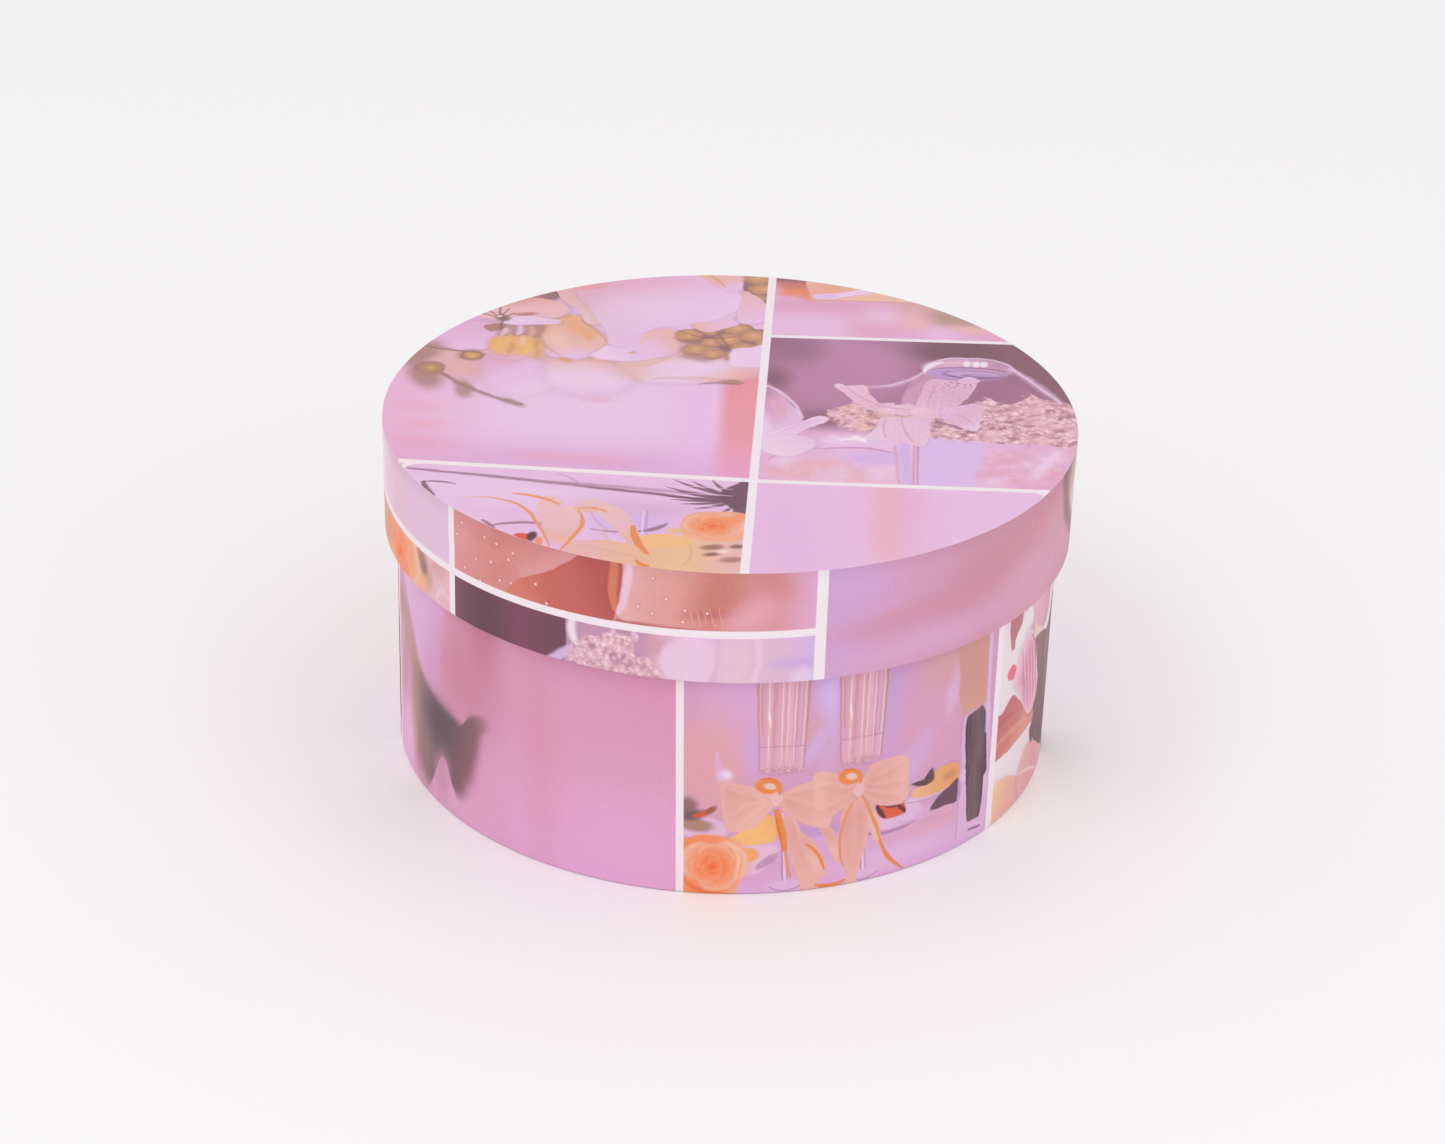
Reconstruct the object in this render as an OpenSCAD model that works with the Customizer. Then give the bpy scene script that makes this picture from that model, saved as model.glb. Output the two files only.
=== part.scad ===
// Round hat box of greyboard, covered in printed paper, with a lift-off lid.
// The frame's origin is at the middle of the underside, +Z up, with the lid on.
// Every piece is one layer of the box: boards, joint tapes, wraps and linings.

/* [Box] */
// Height of the closed box, from the table to the top of the lid
closed_h = 134; // [100:1:200]
// Outside diameter of the lid, over its paper
lid_d = 260; // [180:1:360]
// Height of the lid's rim
lid_h = 44; // [25:1:70]
// Radial gap between the inside of the lid and the outside of the box
lid_gap = 2; // [1:0.25:4]

/* [Board] */
// Thickness of the greyboard of both walls
wall_board = 2; // [1.5:0.25:3]
// Thickness of the greyboard discs in the floor and the lid
disc_board = 2; // [1.5:0.25:3]
// Radius that the board's edges are softened to under the paper
edge_soft = 0.4; // [0.2:0.1:0.6]
// Gap left where the ends of a bent board strip meet
butt_gap = 0.4; // [0.2:0.1:1]

/* [Paper] */
// Thickness of the printed paper, with its glue
wrap_t = 0.2; // [0.15:0.05:0.3]
// Thickness of the plain lining paper, with its glue
lining_t = 0.15; // [0.1:0.05:0.25]
// Thickness of the gummed tape over each board joint
tape_t = 0.1; // [0.05:0.05:0.15]
// Width of that tape
tape_w = 30; // [20:1:40]
// How far the wrap of the box turns in over the mouth
mouth_turn_in = 18; // [12:1:25]
// How far the wrap of the box turns under the floor
foot_turn_under = 12; // [8:1:18]
// How far the lid's top paper turns down under the rim's wrap
top_turn_down = 12; // [8:1:16]
// How far the wrap of the rim turns in over its lower edge
rim_turn_in = 16; // [12:1:20]
// Overlap where the two ends of a wrap are glued over each other
lap_w = 14; // [8:1:20]
// Strip of printed wrap left in sight above the lining
lining_drop = 8; // [4:1:10]

/* [Hidden] */

$fn = 180;
// Height over which a thin paper climbs onto the layer under it
ramp = 0.8;
// Slack between pieces of different bodies that rest on each other
seat_gap = 0.3;
// Bite that joins a lapped end to the layer under it
bite = 0.02;
// Gap between the edge of a loose disc of paper and the wall round it
disc_slack = 0.4;
// Margin of bare turn-under left round the bottom sheet
foot_margin = 3.5;
// Azimuth of the joints: wraps lap at the back, boards meet on the other side
lap_angle = 90;
butt_angle = 240;

// Radii of the lid, from the outside in
lid_r = lid_d / 2;
rim_board_ro = lid_r - 2 * wrap_t;
rim_board_ri = rim_board_ro - wall_board;
rim_inner_r = rim_board_ri - wrap_t - lining_t;

// Radii of the box, from the outside in
box_r = rim_inner_r - lid_gap;
wall_ro = box_r - wrap_t;
wall_ri = wall_ro - wall_board;

// Heights of the box: two thicknesses of paper lie under the boards
board_z0 = 2 * wrap_t;
floor_z = board_z0 + disc_board;
lid_z0 = closed_h - lid_h;
ceiling_z = closed_h - wrap_t - disc_board;
mouth_z = ceiling_z - lining_t - seat_gap;
wall_z1 = mouth_z - wrap_t;

// ---- Profiles, drawn in the r-z plane and turned about Z ----

// A straight run of paper or board
module run(r0, r1, z0, z1) {
    translate([min(r0, r1), min(z0, z1)])
        square([abs(r1 - r0), abs(z1 - z0)]);
}

// A quarter bend of paper round a softened board edge; sr and sz pick the quadrant
module bend(r, z, inner, t, sr, sz) {
    translate([r, z])
        intersection() {
            difference() {
                circle(r = inner + t);
                circle(r = inner);
            }
            translate([sr > 0 ? 0 : -(inner + t), sz > 0 ? 0 : -(inner + t)])
                square(inner + t);
        }
}

// A rectangle whose four corners are softened
module soft_run(r0, r1, z0, z1, soft) {
    run(r0 + soft, r1 - soft, z0, z1);
    run(r0, r1, z0 + soft, z1 - soft);
    for (r = [r0 + soft, r1 - soft], z = [z0 + soft, z1 - soft])
        translate([r, z]) circle(r = soft);
}

// A strip of board bent into a tube, with its butt gap and a seat for the tape
module bent_strip(r0, r1, z0, z1) {
    difference() {
        rotate_extrude() soft_run(r0, r1, z0, z1, edge_soft);
        rotate([0, 0, butt_angle])
            translate([r0 - 1, -butt_gap / 2, z0 - 1])
                cube([r1 - r0 + 2, butt_gap, z1 - z0 + 2]);
        tape_body(r1, z0, z1);
    }
}

// A paper of thickness t that steps from radius a, up to height s0, to radius b,
// from height s1 on
module stepped_run(a, b, s0, s1, z0, z1, t) {
    polygon([
        [a, z0],
        [a, s0],
        [b, s1],
        [b, z1],
        [b + t, z1],
        [b + t, s1],
        [a + t, s0],
        [a + t, z0]
    ]);
}

// Gummed tape pressed flush into the outside of a bent strip, across its joint
module tape_body(r, z0, z1) {
    sweep = tape_w / r * 180 / PI;
    rotate([0, 0, butt_angle - sweep / 2])
        rotate_extrude(angle = sweep)
            run(r - tape_t, r, z0 + 2, z1 - 2);
}

// The glued-over end of a wrap; its profile stands one paper thickness proud
module lapped_end(r) {
    rotate([0, 0, lap_angle])
        rotate_extrude(angle = lap_w / r * 180 / PI)
            children();
}

// ---- Box ----

module base_wall_board() {
    color("darkkhaki")
        bent_strip(wall_ri, wall_ro, board_z0, wall_z1);
}

module base_joint_tape() {
    color("burlywood")
        tape_body(wall_ro, board_z0, wall_z1);
}

module base_floor_board() {
    color("darkkhaki")
        translate([0, 0, board_z0])
            cylinder(r = wall_ri, h = disc_board);
}

// Printed paper: up the outside, over the mouth and a little way down inside
module base_outer_wrap() {
    s = edge_soft;
    t = wrap_t;
    color("plum") {
        rotate_extrude() {
            run(wall_ri - t, wall_ri, mouth_z - mouth_turn_in, wall_z1 - s);
            bend(wall_ri + s, wall_z1 - s, s, t, -1, 1);
            run(wall_ri + s, wall_ro - s, wall_z1, wall_z1 + t);
            bend(wall_ro - s, wall_z1 - s, s, t, 1, 1);
            run(wall_ro, wall_ro + t, board_z0 + s, wall_z1 - s);
            bend(wall_ro - s, board_z0 + s, s, t, 1, -1);
            run(box_r - foot_turn_under, wall_ro - s, board_z0 - t, board_z0);
        }
        lapped_end(box_r)
            run(box_r - bite, box_r + t, board_z0 + s, wall_z1 - s);
    }
}

// Plain paper inside the wall, lapped over the lower edge of the turn-in
module base_wall_lining() {
    r = wall_ri - lining_t;
    top = mouth_z - lining_drop;
    step = mouth_z - mouth_turn_in;
    color("ivory")
        rotate_extrude()
            stepped_run(r, r - wrap_t, step - ramp, step, floor_z, top, lining_t);
}

module base_floor_lining() {
    color("ivory")
        translate([0, 0, floor_z])
            cylinder(r = wall_ri - lining_t - disc_slack, h = lining_t);
}

// Plain paper under the box, stepped over the edge of the turn-under
module base_bottom_sheet() {
    edge = box_r - foot_margin;
    step = box_r - foot_turn_under;
    color("ivory")
        rotate_extrude()
            polygon([
                [0, wrap_t],
                [step - ramp, wrap_t],
                [step, 0],
                [edge, 0],
                [edge, wrap_t],
                [step, wrap_t],
                [step - ramp, board_z0],
                [0, board_z0]
            ]);
}

// ---- Lid ----

module lid_top_board() {
    color("darkkhaki")
        translate([0, 0, ceiling_z])
            cylinder(r = rim_board_ri, h = disc_board);
}

module lid_rim_board() {
    color("darkkhaki")
        bent_strip(rim_board_ri, rim_board_ro, lid_z0 + wrap_t, closed_h - wrap_t);
}

module lid_joint_tape() {
    color("burlywood")
        tape_body(rim_board_ro, lid_z0 + wrap_t, closed_h - wrap_t);
}

// Printed disc over the top, turned down round the rim under the rim's wrap
module lid_top_paper() {
    s = edge_soft;
    t = wrap_t;
    color("thistle")
        rotate_extrude() {
            run(0, rim_board_ro - s, closed_h - t, closed_h);
            bend(rim_board_ro - s, closed_h - t - s, s, t, 1, 1);
            run(rim_board_ro, rim_board_ro + t, closed_h - top_turn_down, closed_h - t - s);
        }
}

// Printed strip round the rim, stepped over the turned-down edge of the top
// paper, folded round the lower edge and glued up the inside
module lid_rim_wrap() {
    s = edge_soft;
    t = wrap_t;
    r = rim_board_ro;
    step = closed_h - top_turn_down;
    low = lid_z0 + t + s;
    high = closed_h - t - s;
    color("plum") {
        rotate_extrude() {
            stepped_run(r, r + t, step - ramp, step, low, high, t);
            bend(r - s, low, s, t, 1, -1);
            run(rim_board_ri + s, r - s, lid_z0, lid_z0 + t);
            bend(rim_board_ri + s, low, s, t, -1, -1);
            run(rim_board_ri - t, rim_board_ri, low, lid_z0 + rim_turn_in);
        }
        lapped_end(lid_r)
            stepped_run(r + t - bite, lid_r - bite, step - ramp, step, low, high, t + bite);
    }
}

// Plain paper inside the rim, lapped over the upper edge of the turn-in
module lid_rim_lining() {
    r = rim_board_ri - lining_t;
    low = lid_z0 + lining_drop;
    step = lid_z0 + rim_turn_in;
    color("ivory")
        rotate_extrude()
            stepped_run(rim_inner_r, r, step, step + ramp, low, ceiling_z, lining_t);
}

module lid_ceiling_lining() {
    color("ivory")
        translate([0, 0, ceiling_z - lining_t])
            cylinder(r = rim_board_ri - lining_t - disc_slack, h = lining_t);
}

base_wall_board();
base_joint_tape();
base_floor_board();
base_outer_wrap();
base_wall_lining();
base_floor_lining();
base_bottom_sheet();
lid_top_board();
lid_rim_board();
lid_joint_tape();
lid_top_paper();
lid_rim_wrap();
lid_rim_lining();
lid_ceiling_lining();
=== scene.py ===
import math

import bmesh
import bpy
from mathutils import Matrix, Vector


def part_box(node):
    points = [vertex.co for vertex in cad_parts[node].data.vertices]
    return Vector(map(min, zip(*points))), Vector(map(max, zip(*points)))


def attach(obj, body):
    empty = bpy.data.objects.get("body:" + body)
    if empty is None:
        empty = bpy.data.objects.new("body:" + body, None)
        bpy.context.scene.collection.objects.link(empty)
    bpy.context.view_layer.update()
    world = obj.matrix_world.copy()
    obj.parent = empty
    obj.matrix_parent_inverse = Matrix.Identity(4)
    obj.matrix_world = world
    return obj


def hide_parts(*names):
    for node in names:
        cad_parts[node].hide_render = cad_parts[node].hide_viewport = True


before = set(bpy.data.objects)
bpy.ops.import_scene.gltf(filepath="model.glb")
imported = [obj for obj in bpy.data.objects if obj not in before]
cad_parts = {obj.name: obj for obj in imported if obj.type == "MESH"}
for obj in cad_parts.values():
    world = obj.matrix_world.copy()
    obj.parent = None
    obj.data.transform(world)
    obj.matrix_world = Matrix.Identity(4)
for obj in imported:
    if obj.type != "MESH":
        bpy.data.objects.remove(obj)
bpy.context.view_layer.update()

# Printed papers are drawn flat, in millimetres, by shader nodes, and cut, folded
# and glued round the boards as the real ones are. The flat drawing's place is the
# UV map "print": x to the right and y up, as seen by someone in front of the box.
MM = 0.001
PRINT_MAP = "print"

# Thicknesses of the printed paper and the lining, with their glue, and of the board
PAPER = 0.2
LINING = 0.15
BOARD = 2.0
# Radius of the outside of a paper folded round a softened board edge
FOLD = 0.6
# Overlap where a wrap's ends are glued over each other
LAP = 14.0
# How far the wraps turn in over the mouth, under the foot and up inside the rim
MOUTH_TURN_IN = 18
FOOT_TURN_UNDER = 12
RIM_TURN_IN = 16
# Strip of a turn-in that its lining leaves in sight
LINING_DROP = 8
# Length over which a lining climbs onto a turn-in, and the radius of its bends
LINING_STEP = 0.8
LINING_BEND = 1.0
# Length over which the rim's wrap climbs over the paper under it, and its bends' radius
BRIDGE = 4.0
BRIDGE_BEND = 8.0
# Width of the band of faces round the flat middle of the top paper
TOP_BAND = 30

# Width of the linen threads pressed into the printed paper
THREAD = 0.55

# Columns of faces round the box and across a lap
COLUMNS = 288
LAP_COLUMNS = 5

# ---------------------------------------------------------------- palette
# sRGB, 0 to 255

PAPER_WHITE = (242, 230, 237)
LILAC = (232, 190, 227)
PALE_LILAC = (236, 203, 233)
DEEP_LILAC = (222, 172, 215)
BLUE_LILAC = (210, 178, 230)
ROSE_LILAC = (226, 172, 207)
# MAUVE_PINK, the ground of the base's wall, carries painted shade: it is darker than its print, as the
# walls get less light than the top
MAUVE_PINK = (220, 157, 186)
ROSE_PINK = (231, 166, 197)
CORAL = (232, 152, 164)
ROSY = (216, 140, 138)
PEACH = (232, 180, 178)
TAN = (222, 170, 164)
CREAM = (236, 214, 212)
GOLD = (216, 160, 118)
GOLD_LIGHT = (232, 186, 140)
OLIVE = (168, 126, 112)
BROWN = (140, 102, 96)
PLUM = (150, 103, 122)
PLUM_LIGHT = (180, 126, 163)
ORANGE = (241, 142, 96)
ORANGE_DEEP = (238, 106, 62)
ORANGE_PALE = (240, 172, 142)


def linear(colour):
    """An sRGB colour as linear light, with full alpha."""
    return [((channel / 255 + 0.055) / 1.055) ** 2.4 for channel in colour] + [1.0]


def between(a, b, share):
    """The colour a given share of the way from a to b."""
    return tuple(p + (q - p) * share for p, q in zip(a, b))


# ---------------------------------------------------------------- painting

class Paint:
    """Lays paint over paint with shader nodes, at places in millimetres on the paper.

    A mask is a socket that is 1 where paint goes. in_oval, in_side, in_stroke and
    in_shape make masks, and oval, side, stroke and shape paint through them. After an
    oval or a shape, reach goes from 0 at its middle to 1 at its edge, and on to FAR."""

    FAR = 2.0

    def __init__(self, tree, colour):
        self.tree = tree
        self.colour = colour
        self.flat_place = self.node("UVMap", uv_map=PRINT_MAP).outputs[0]
        self.place = self.flat_place
        self.reach = None

    # -- nodes

    def node(self, kind, inputs=(), **settings):
        """A shader node with its settings, and with its inputs set or linked."""
        node = self.tree.nodes.new("ShaderNode" + kind)
        for name, value in settings.items():
            setattr(node, name, value)
        for key, value in dict(inputs).items():
            socket = node.inputs[key]
            if isinstance(value, bpy.types.NodeSocket):
                self.tree.links.new(value, socket)
            else:
                socket.default_value = value
        return node

    def math(self, operation, a, b=0.0, c=0.0):
        return self.node("Math", {0: a, 1: b, 2: c}, operation=operation).outputs[0]

    def spot(self, x, y, turn, rx, ry):
        """The place as seen from (x, y), turned by degrees, in units of rx and ry."""
        inputs = {
            "Vector": self.place,
            "Location": (x, y, 0),
            "Rotation": (0, 0, math.radians(turn)),
            "Scale": (rx, ry, 1),
        }
        return self.node("Mapping", inputs, vector_type="TEXTURE").outputs[0]

    def gradient(self, kind, place):
        return self.node("TexGradient", {0: place}, gradient_type=kind).outputs["Fac"]

    def step(self, value, low, high, start, end):
        """Goes smoothly from start to end while value goes from low to high.

        The smooth curve stays between start and end by itself, so it isn't clamped."""
        inputs = {0: value, 1: low, 2: high, 3: start, 4: end}
        settings = {"interpolation_type": "SMOOTHSTEP", "clamp": False}
        return self.node("MapRange", inputs, **settings).outputs[0]

    def noise(self, size, detail, stretch=(1, 1), output="Fac"):
        """Cloudy noise; size is the width of its clouds, stretch widens them."""
        scale = (1 / size / stretch[0], 1 / size / stretch[1], 1)
        scaled = self.node("Mapping", {"Vector": self.place, "Scale": scale}).outputs[0]
        inputs = {"Vector": scaled, "Scale": 1.0, "Detail": detail}
        return self.node("TexNoise", inputs, noise_dimensions="2D").outputs[output]

    def cells(self, size, randomness=1.0):
        """Distance to the nearest of many scattered points, size apart on average."""
        inputs = {"Vector": self.place, "Scale": 1 / size, "Randomness": randomness}
        return self.node("TexVoronoi", inputs, voronoi_dimensions="2D").outputs["Distance"]

    def curve(self, value, points, smooth=True):
        """A curve through (position, height) points, both from 0 to 1."""
        node = self.node("FloatCurve", {"Value": value})
        line = node.mapping.curves[0]
        line.points[0].location = points[0]
        line.points[1].location = points[-1]
        for position, height in points[1:-1]:
            line.points.new(position, height)
        for point in line.points:
            point.handle_type = "AUTO" if smooth else "VECTOR"
        node.mapping.update()
        return node.outputs[0]

    def wobble(self, amount, size):
        """Bends what follows by up to half of amount, in clouds of that size."""
        self.place = self.flat_place
        noise = self.noise(size, 1.0, output="Color")
        middle = {"Vector": self.flat_place, "Location": (-amount / 2, -amount / 2, 0)}
        middle = self.node("Mapping", middle).outputs[0]
        inputs = {"Vector": noise, "Location": middle, "Scale": (amount, amount, 0)}
        self.place = self.node("Mapping", inputs).outputs[0]

    # -- masks

    def in_oval(self, x, y, rx, ry, turn=0.0, soft=0.2, strength=1.0):
        """An oval round (x, y); soft is its edge's blur as a share of its size."""
        near = self.gradient("SPHERICAL", self.spot(x, y, turn, self.FAR * rx, self.FAR * ry))
        self.reach = self.math("MULTIPLY_ADD", near, -self.FAR, self.FAR)
        return self.step(self.reach, 1 - soft, 1 + soft, strength, 0)

    def in_side(self, x, y, turn, soft=0.5, strength=1.0):
        """The half of the paper on the left of a line through (x, y)."""
        angle = math.radians(turn)
        x += soft * math.sin(angle)
        y -= soft * math.cos(angle)
        mask = self.gradient("EASING", self.spot(x, y, turn + 90, 2 * soft, 1))
        return mask if strength == 1 else self.math("MULTIPLY", mask, strength)

    def in_stroke(self, points, width, soft=0.3, strength=1.0, tip=1.0):
        """A brush stroke through points that go forward from the first to the last.

        tip is the width near its two ends, as a share of the width."""
        (x0, y0), (x1, y1) = points[0], points[-1]
        span = math.hypot(x1 - x0, y1 - y0)
        angle = math.atan2(y1 - y0, x1 - x0)
        turn = math.degrees(angle)
        bends = []
        for x, y in points:
            along = (x - x0) * math.cos(angle) + (y - y0) * math.sin(angle)
            off = (y - y0) * math.cos(angle) - (x - x0) * math.sin(angle)
            bends.append((along / span, off))
        swing = max(abs(off) for _, off in bends)
        window = 2 * (swing + width + soft)
        share = self.gradient("LINEAR", self.spot(x0, y0, turn, span, 1))
        edge = (x0 + window / 2 * math.sin(angle), y0 - window / 2 * math.cos(angle))
        across = self.gradient("LINEAR", self.spot(*edge, turn + 90, window, 1))
        middle = 0.5
        if swing > 0.02:
            middle = self.curve(share, [(u, 0.5 + off / window) for u, off in bends])
        gap = self.math("ABSOLUTE", self.math("SUBTRACT", across, middle))
        cap = min(max(width * tip / 2 / span, 0.012), 0.2)
        gap = self.math("DIVIDE", gap, self.curve(share, tapered(tip, cap), smooth=False))
        inner = max(width / 2 - soft, 0) / window
        return self.step(gap, inner, (width / 2 + soft) / window, strength, 0)

    def in_shape(self, points, soft=0.5, strength=1.0, sharp=False):
        """A closed outline round its own middle; soft is its edge's blur in millimetres."""
        x0 = sum(x for x, _ in points) / len(points)
        y0 = sum(y for _, y in points) / len(points)
        path = outline([(x - x0, y - y0) for x, y in points], sharp)
        size = max(math.hypot(x, y) for x, y in path)
        middle = sum(math.hypot(x, y) for x, y in path) / len(path)
        here = self.spot(x0, y0, 0, self.FAR * size, self.FAR * size)
        away = self.math("MULTIPLY_ADD", self.gradient("SPHERICAL", here), -self.FAR, self.FAR)
        # straight sides take more steps round, to keep their corners
        steps = 60 if sharp else 36
        radii = [(share, radius / size) for share, radius in around(path, steps)]
        edge = self.curve(self.gradient("RADIAL", here), radii, smooth=not sharp)
        self.reach = self.math("DIVIDE", away, edge)
        blur = min(soft / middle, 0.95)
        return self.step(self.reach, 1 - blur, 1 + blur, strength, 0)

    # -- colours

    def slope(self, x0, y0, x1, y1):
        """0 at the first point, 1 at the second, and level across."""
        turn = math.degrees(math.atan2(y1 - y0, x1 - x0))
        return self.gradient("LINEAR", self.spot(x0, y0, turn, math.hypot(x1 - x0, y1 - y0), 1))

    def ramp(self, value, *stops):
        """A colour for each value; stops are (position, colour)."""
        node = self.node("ValToRGB", {0: value})
        node.color_ramp.interpolation = "EASE"
        marks = node.color_ramp.elements
        marks[0].position, marks[0].color = stops[0][0], linear(stops[0][1])
        marks[1].position, marks[1].color = stops[-1][0], linear(stops[-1][1])
        for position, colour in stops[1:-1]:
            marks.new(position).color = linear(colour)
        return node.outputs[0]

    def fill(self, start, end, *colours):
        """Colours in even steps from one place to another."""
        slope = self.slope(*start, *end)
        if len(colours) == 2:
            return self.mix(slope, linear(colours[0]), linear(colours[1]))
        last = len(colours) - 1
        return self.ramp(slope, *((i / last, colour) for i, colour in enumerate(colours)))

    def mix(self, share, a, b, blend="MIX"):
        """Colour a with that share of b blended in."""
        inputs = {0: share, 6: a, 7: b}
        return self.node("Mix", inputs, data_type="RGBA", blend_type=blend).outputs[2]

    def lay(self, colour, mask, blend="MIX"):
        """Paints colour, a tuple or a socket, over what is there."""
        if isinstance(colour, tuple):
            colour = linear(colour)
        self.colour = self.mix(mask, self.colour, colour, blend)

    # -- paint through a mask

    def oval(self, colour, *place):
        self.lay(colour, self.in_oval(*place))

    def side(self, colour, *place):
        self.lay(colour, self.in_side(*place))

    def stroke(self, colour, *place):
        self.lay(colour, self.in_stroke(*place))

    def shape(self, colour, *place):
        self.lay(colour, self.in_shape(*place))

    # -- things made of several strokes

    def petal(self, points, fill, soft, shade, spread=0.22, rim=None):
        """A petal with a soft shadow round it, and a rim of its own colour."""
        mask = self.in_shape(points, soft)
        reach = self.reach
        self.lay(BROWN, self.step(reach, 0.9, 1 + spread, shade, 0), "MULTIPLY")
        if isinstance(fill, tuple):
            fill = linear(fill)
        if rim:
            fill = self.mix(self.step(reach, 0.55, 1.0, 0, 0.75), fill, linear(rim))
        self.lay(fill, mask)

    def puffs(self, size, light, body, gap):
        """Small round blossoms crowded together."""
        shades = ((0.0, light), (0.3, body), (0.62, between(body, gap, 0.5)), (0.9, gap))
        return self.ramp(self.cells(size), *shades)

    def berry(self, x, y, r, light, body, edge):
        """A round bud, lit in the middle and darker towards its edge."""
        mask = self.in_oval(x + r * 0.12, y + r * 0.18, r, r, 0, 0.15)
        self.lay(self.ramp(self.reach, (0.0, light), (0.45, body), (0.95, edge)), mask)

    def rose(self, x, y, r, heart, body, outer, turns=9):
        """A rose seen from above: petals lapped round a heart, each with a lit lip."""
        for i in range(turns):
            share = i / (turns - 1)
            angle = math.radians(137.5 * i + 20)
            away = r * 0.5 * (1 - share) ** 0.8
            size = r * (0.72 - 0.5 * share)
            px = x + away * math.cos(angle)
            py = y + away * math.sin(angle)
            colour = between(outer, body, min(1, share * 1.6))
            dark = between(colour, heart, 0.25 + 0.6 * share)
            lip = between(colour, CREAM, 0.3 * (1 - share) + 0.08)
            lean = math.degrees(angle) + 90
            mask = self.in_oval(px, py, size, size * 0.8, lean, 0.12)
            shade = self.ramp(self.reach, (0.0, dark), (0.62, colour), (0.92, lip))
            self.lay(dark, self.step(self.reach, 0.9, 1.35, 0.4, 0))
            self.lay(shade, mask)
        self.lay(heart, self.in_oval(x, y, r * 0.16, r * 0.12, 30, 0.6, 0.8))


def tapered(tip, cap):
    """A stroke's width along it: full in the middle, tip near its ends, and round caps."""
    points = []
    for share in (0, cap * 0.1, cap * 0.35, cap, 0.25 + cap / 2, 0.5):
        round_end = math.sqrt(max(1 - (1 - min(share / cap, 1)) ** 2, 0))
        lens = tip + (1 - tip) * math.sin(math.pi * share)
        points.append((share, max(round_end * lens, 0.001)))
    return points + [(1 - share, height) for share, height in reversed(points[:-1])]


def outline(points, sharp):
    """A closed path through points: straight between them, or rounded."""
    count = len(points)
    path = []
    steps = 12
    for i in range(count):
        a, b, c, d = (Vector(points[(i + k) % count]) for k in (-1, 0, 1, 2))
        for j in range(steps):
            t = j / steps
            if sharp:
                path.append(b.lerp(c, t))
            else:
                curve = 2 * b + (c - a) * t + (2 * a - 5 * b + 4 * c - d) * t ** 2
                path.append((curve + (3 * b - a - 3 * c + d) * t ** 3) / 2)
    return path


def around(path, count):
    """The path's radius at count even steps of a turn, as (share of turn, radius)."""
    polar = sorted((math.atan2(y, x) / math.tau + 0.5, math.hypot(x, y)) for x, y in path)
    first, last = polar[0], polar[-1]
    polar = [(last[0] - 1, last[1])] + polar + [(first[0] + 1, first[1])]
    radii = []
    k = 0
    for i in range(count + 1):
        share = i / count
        while polar[k + 1][0] < share:
            k += 1
        (a, ra), (b, rb) = polar[k], polar[k + 1]
        radii.append((share, ra + (rb - ra) * (share - a) / max(b - a, 1e-9)))
    return radii


# ---------------------------------------------------------------- pictures
# Each function draws one part of a picture of the collage. On the lid's top, places
# are measured from its middle; on the walls, x is measured from the middle of the
# front and y from the table up.

def satin(p):
    """Plain lilac satin with a soft peach fold."""
    p.wobble(8, 60)
    p.oval(ROSE_PINK, 4, -70, 12, 70, 0, 0.9, 0.55)
    p.oval(DEEP_LILAC, -34, -110, 16, 60, 8, 0.9, 0.4)
    p.oval(LILAC, 38, -80, 20, 60, -6, 0.9, 0.5)
    p.oval(PEACH, 0, -90, 4, 60, 0, 0.9, 0.5)


def satin_corner(p):
    """The rounded corner of the white line beside the satin."""
    p.stroke(PAPER_WHITE, [(44, -60.4), (56, -61.6), (59, -70)], 2.6, 0.3)


def bouquet_ground(p):
    """The lilac ground of the bouquet, out of focus at the bottom."""
    p.side(p.fill((0, -20), (0, -52), LILAC, DEEP_LILAC), 0, -24, 180, 16)
    p.side(ROSE_PINK, -98, 0, 90, 20, 0.5)
    for x, y, r in [(-116, -5, 10), (-112, -20, 8), (-112, -36, 9), (-66, -44, 12), (-46, -46, 10)]:
        p.oval(CORAL, x, y, r, 4.0, -4, 0.9, 0.3)
    p.oval(PALE_LILAC, -50, -4, 50, 24, 0, 0.9, 0.6)
    p.oval((236, 186, 230), -13, 0, 9, 50, 0, 0.9, 0.6)
    band = p.math("MULTIPLY", p.in_side(-3.5, 0, -91, 3.5), p.in_side(0, 40, 180, 1.2))
    p.lay(p.fill((0, 36), (0, -58), (232, 148, 162), CORAL, (232, 160, 196)), band)


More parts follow.
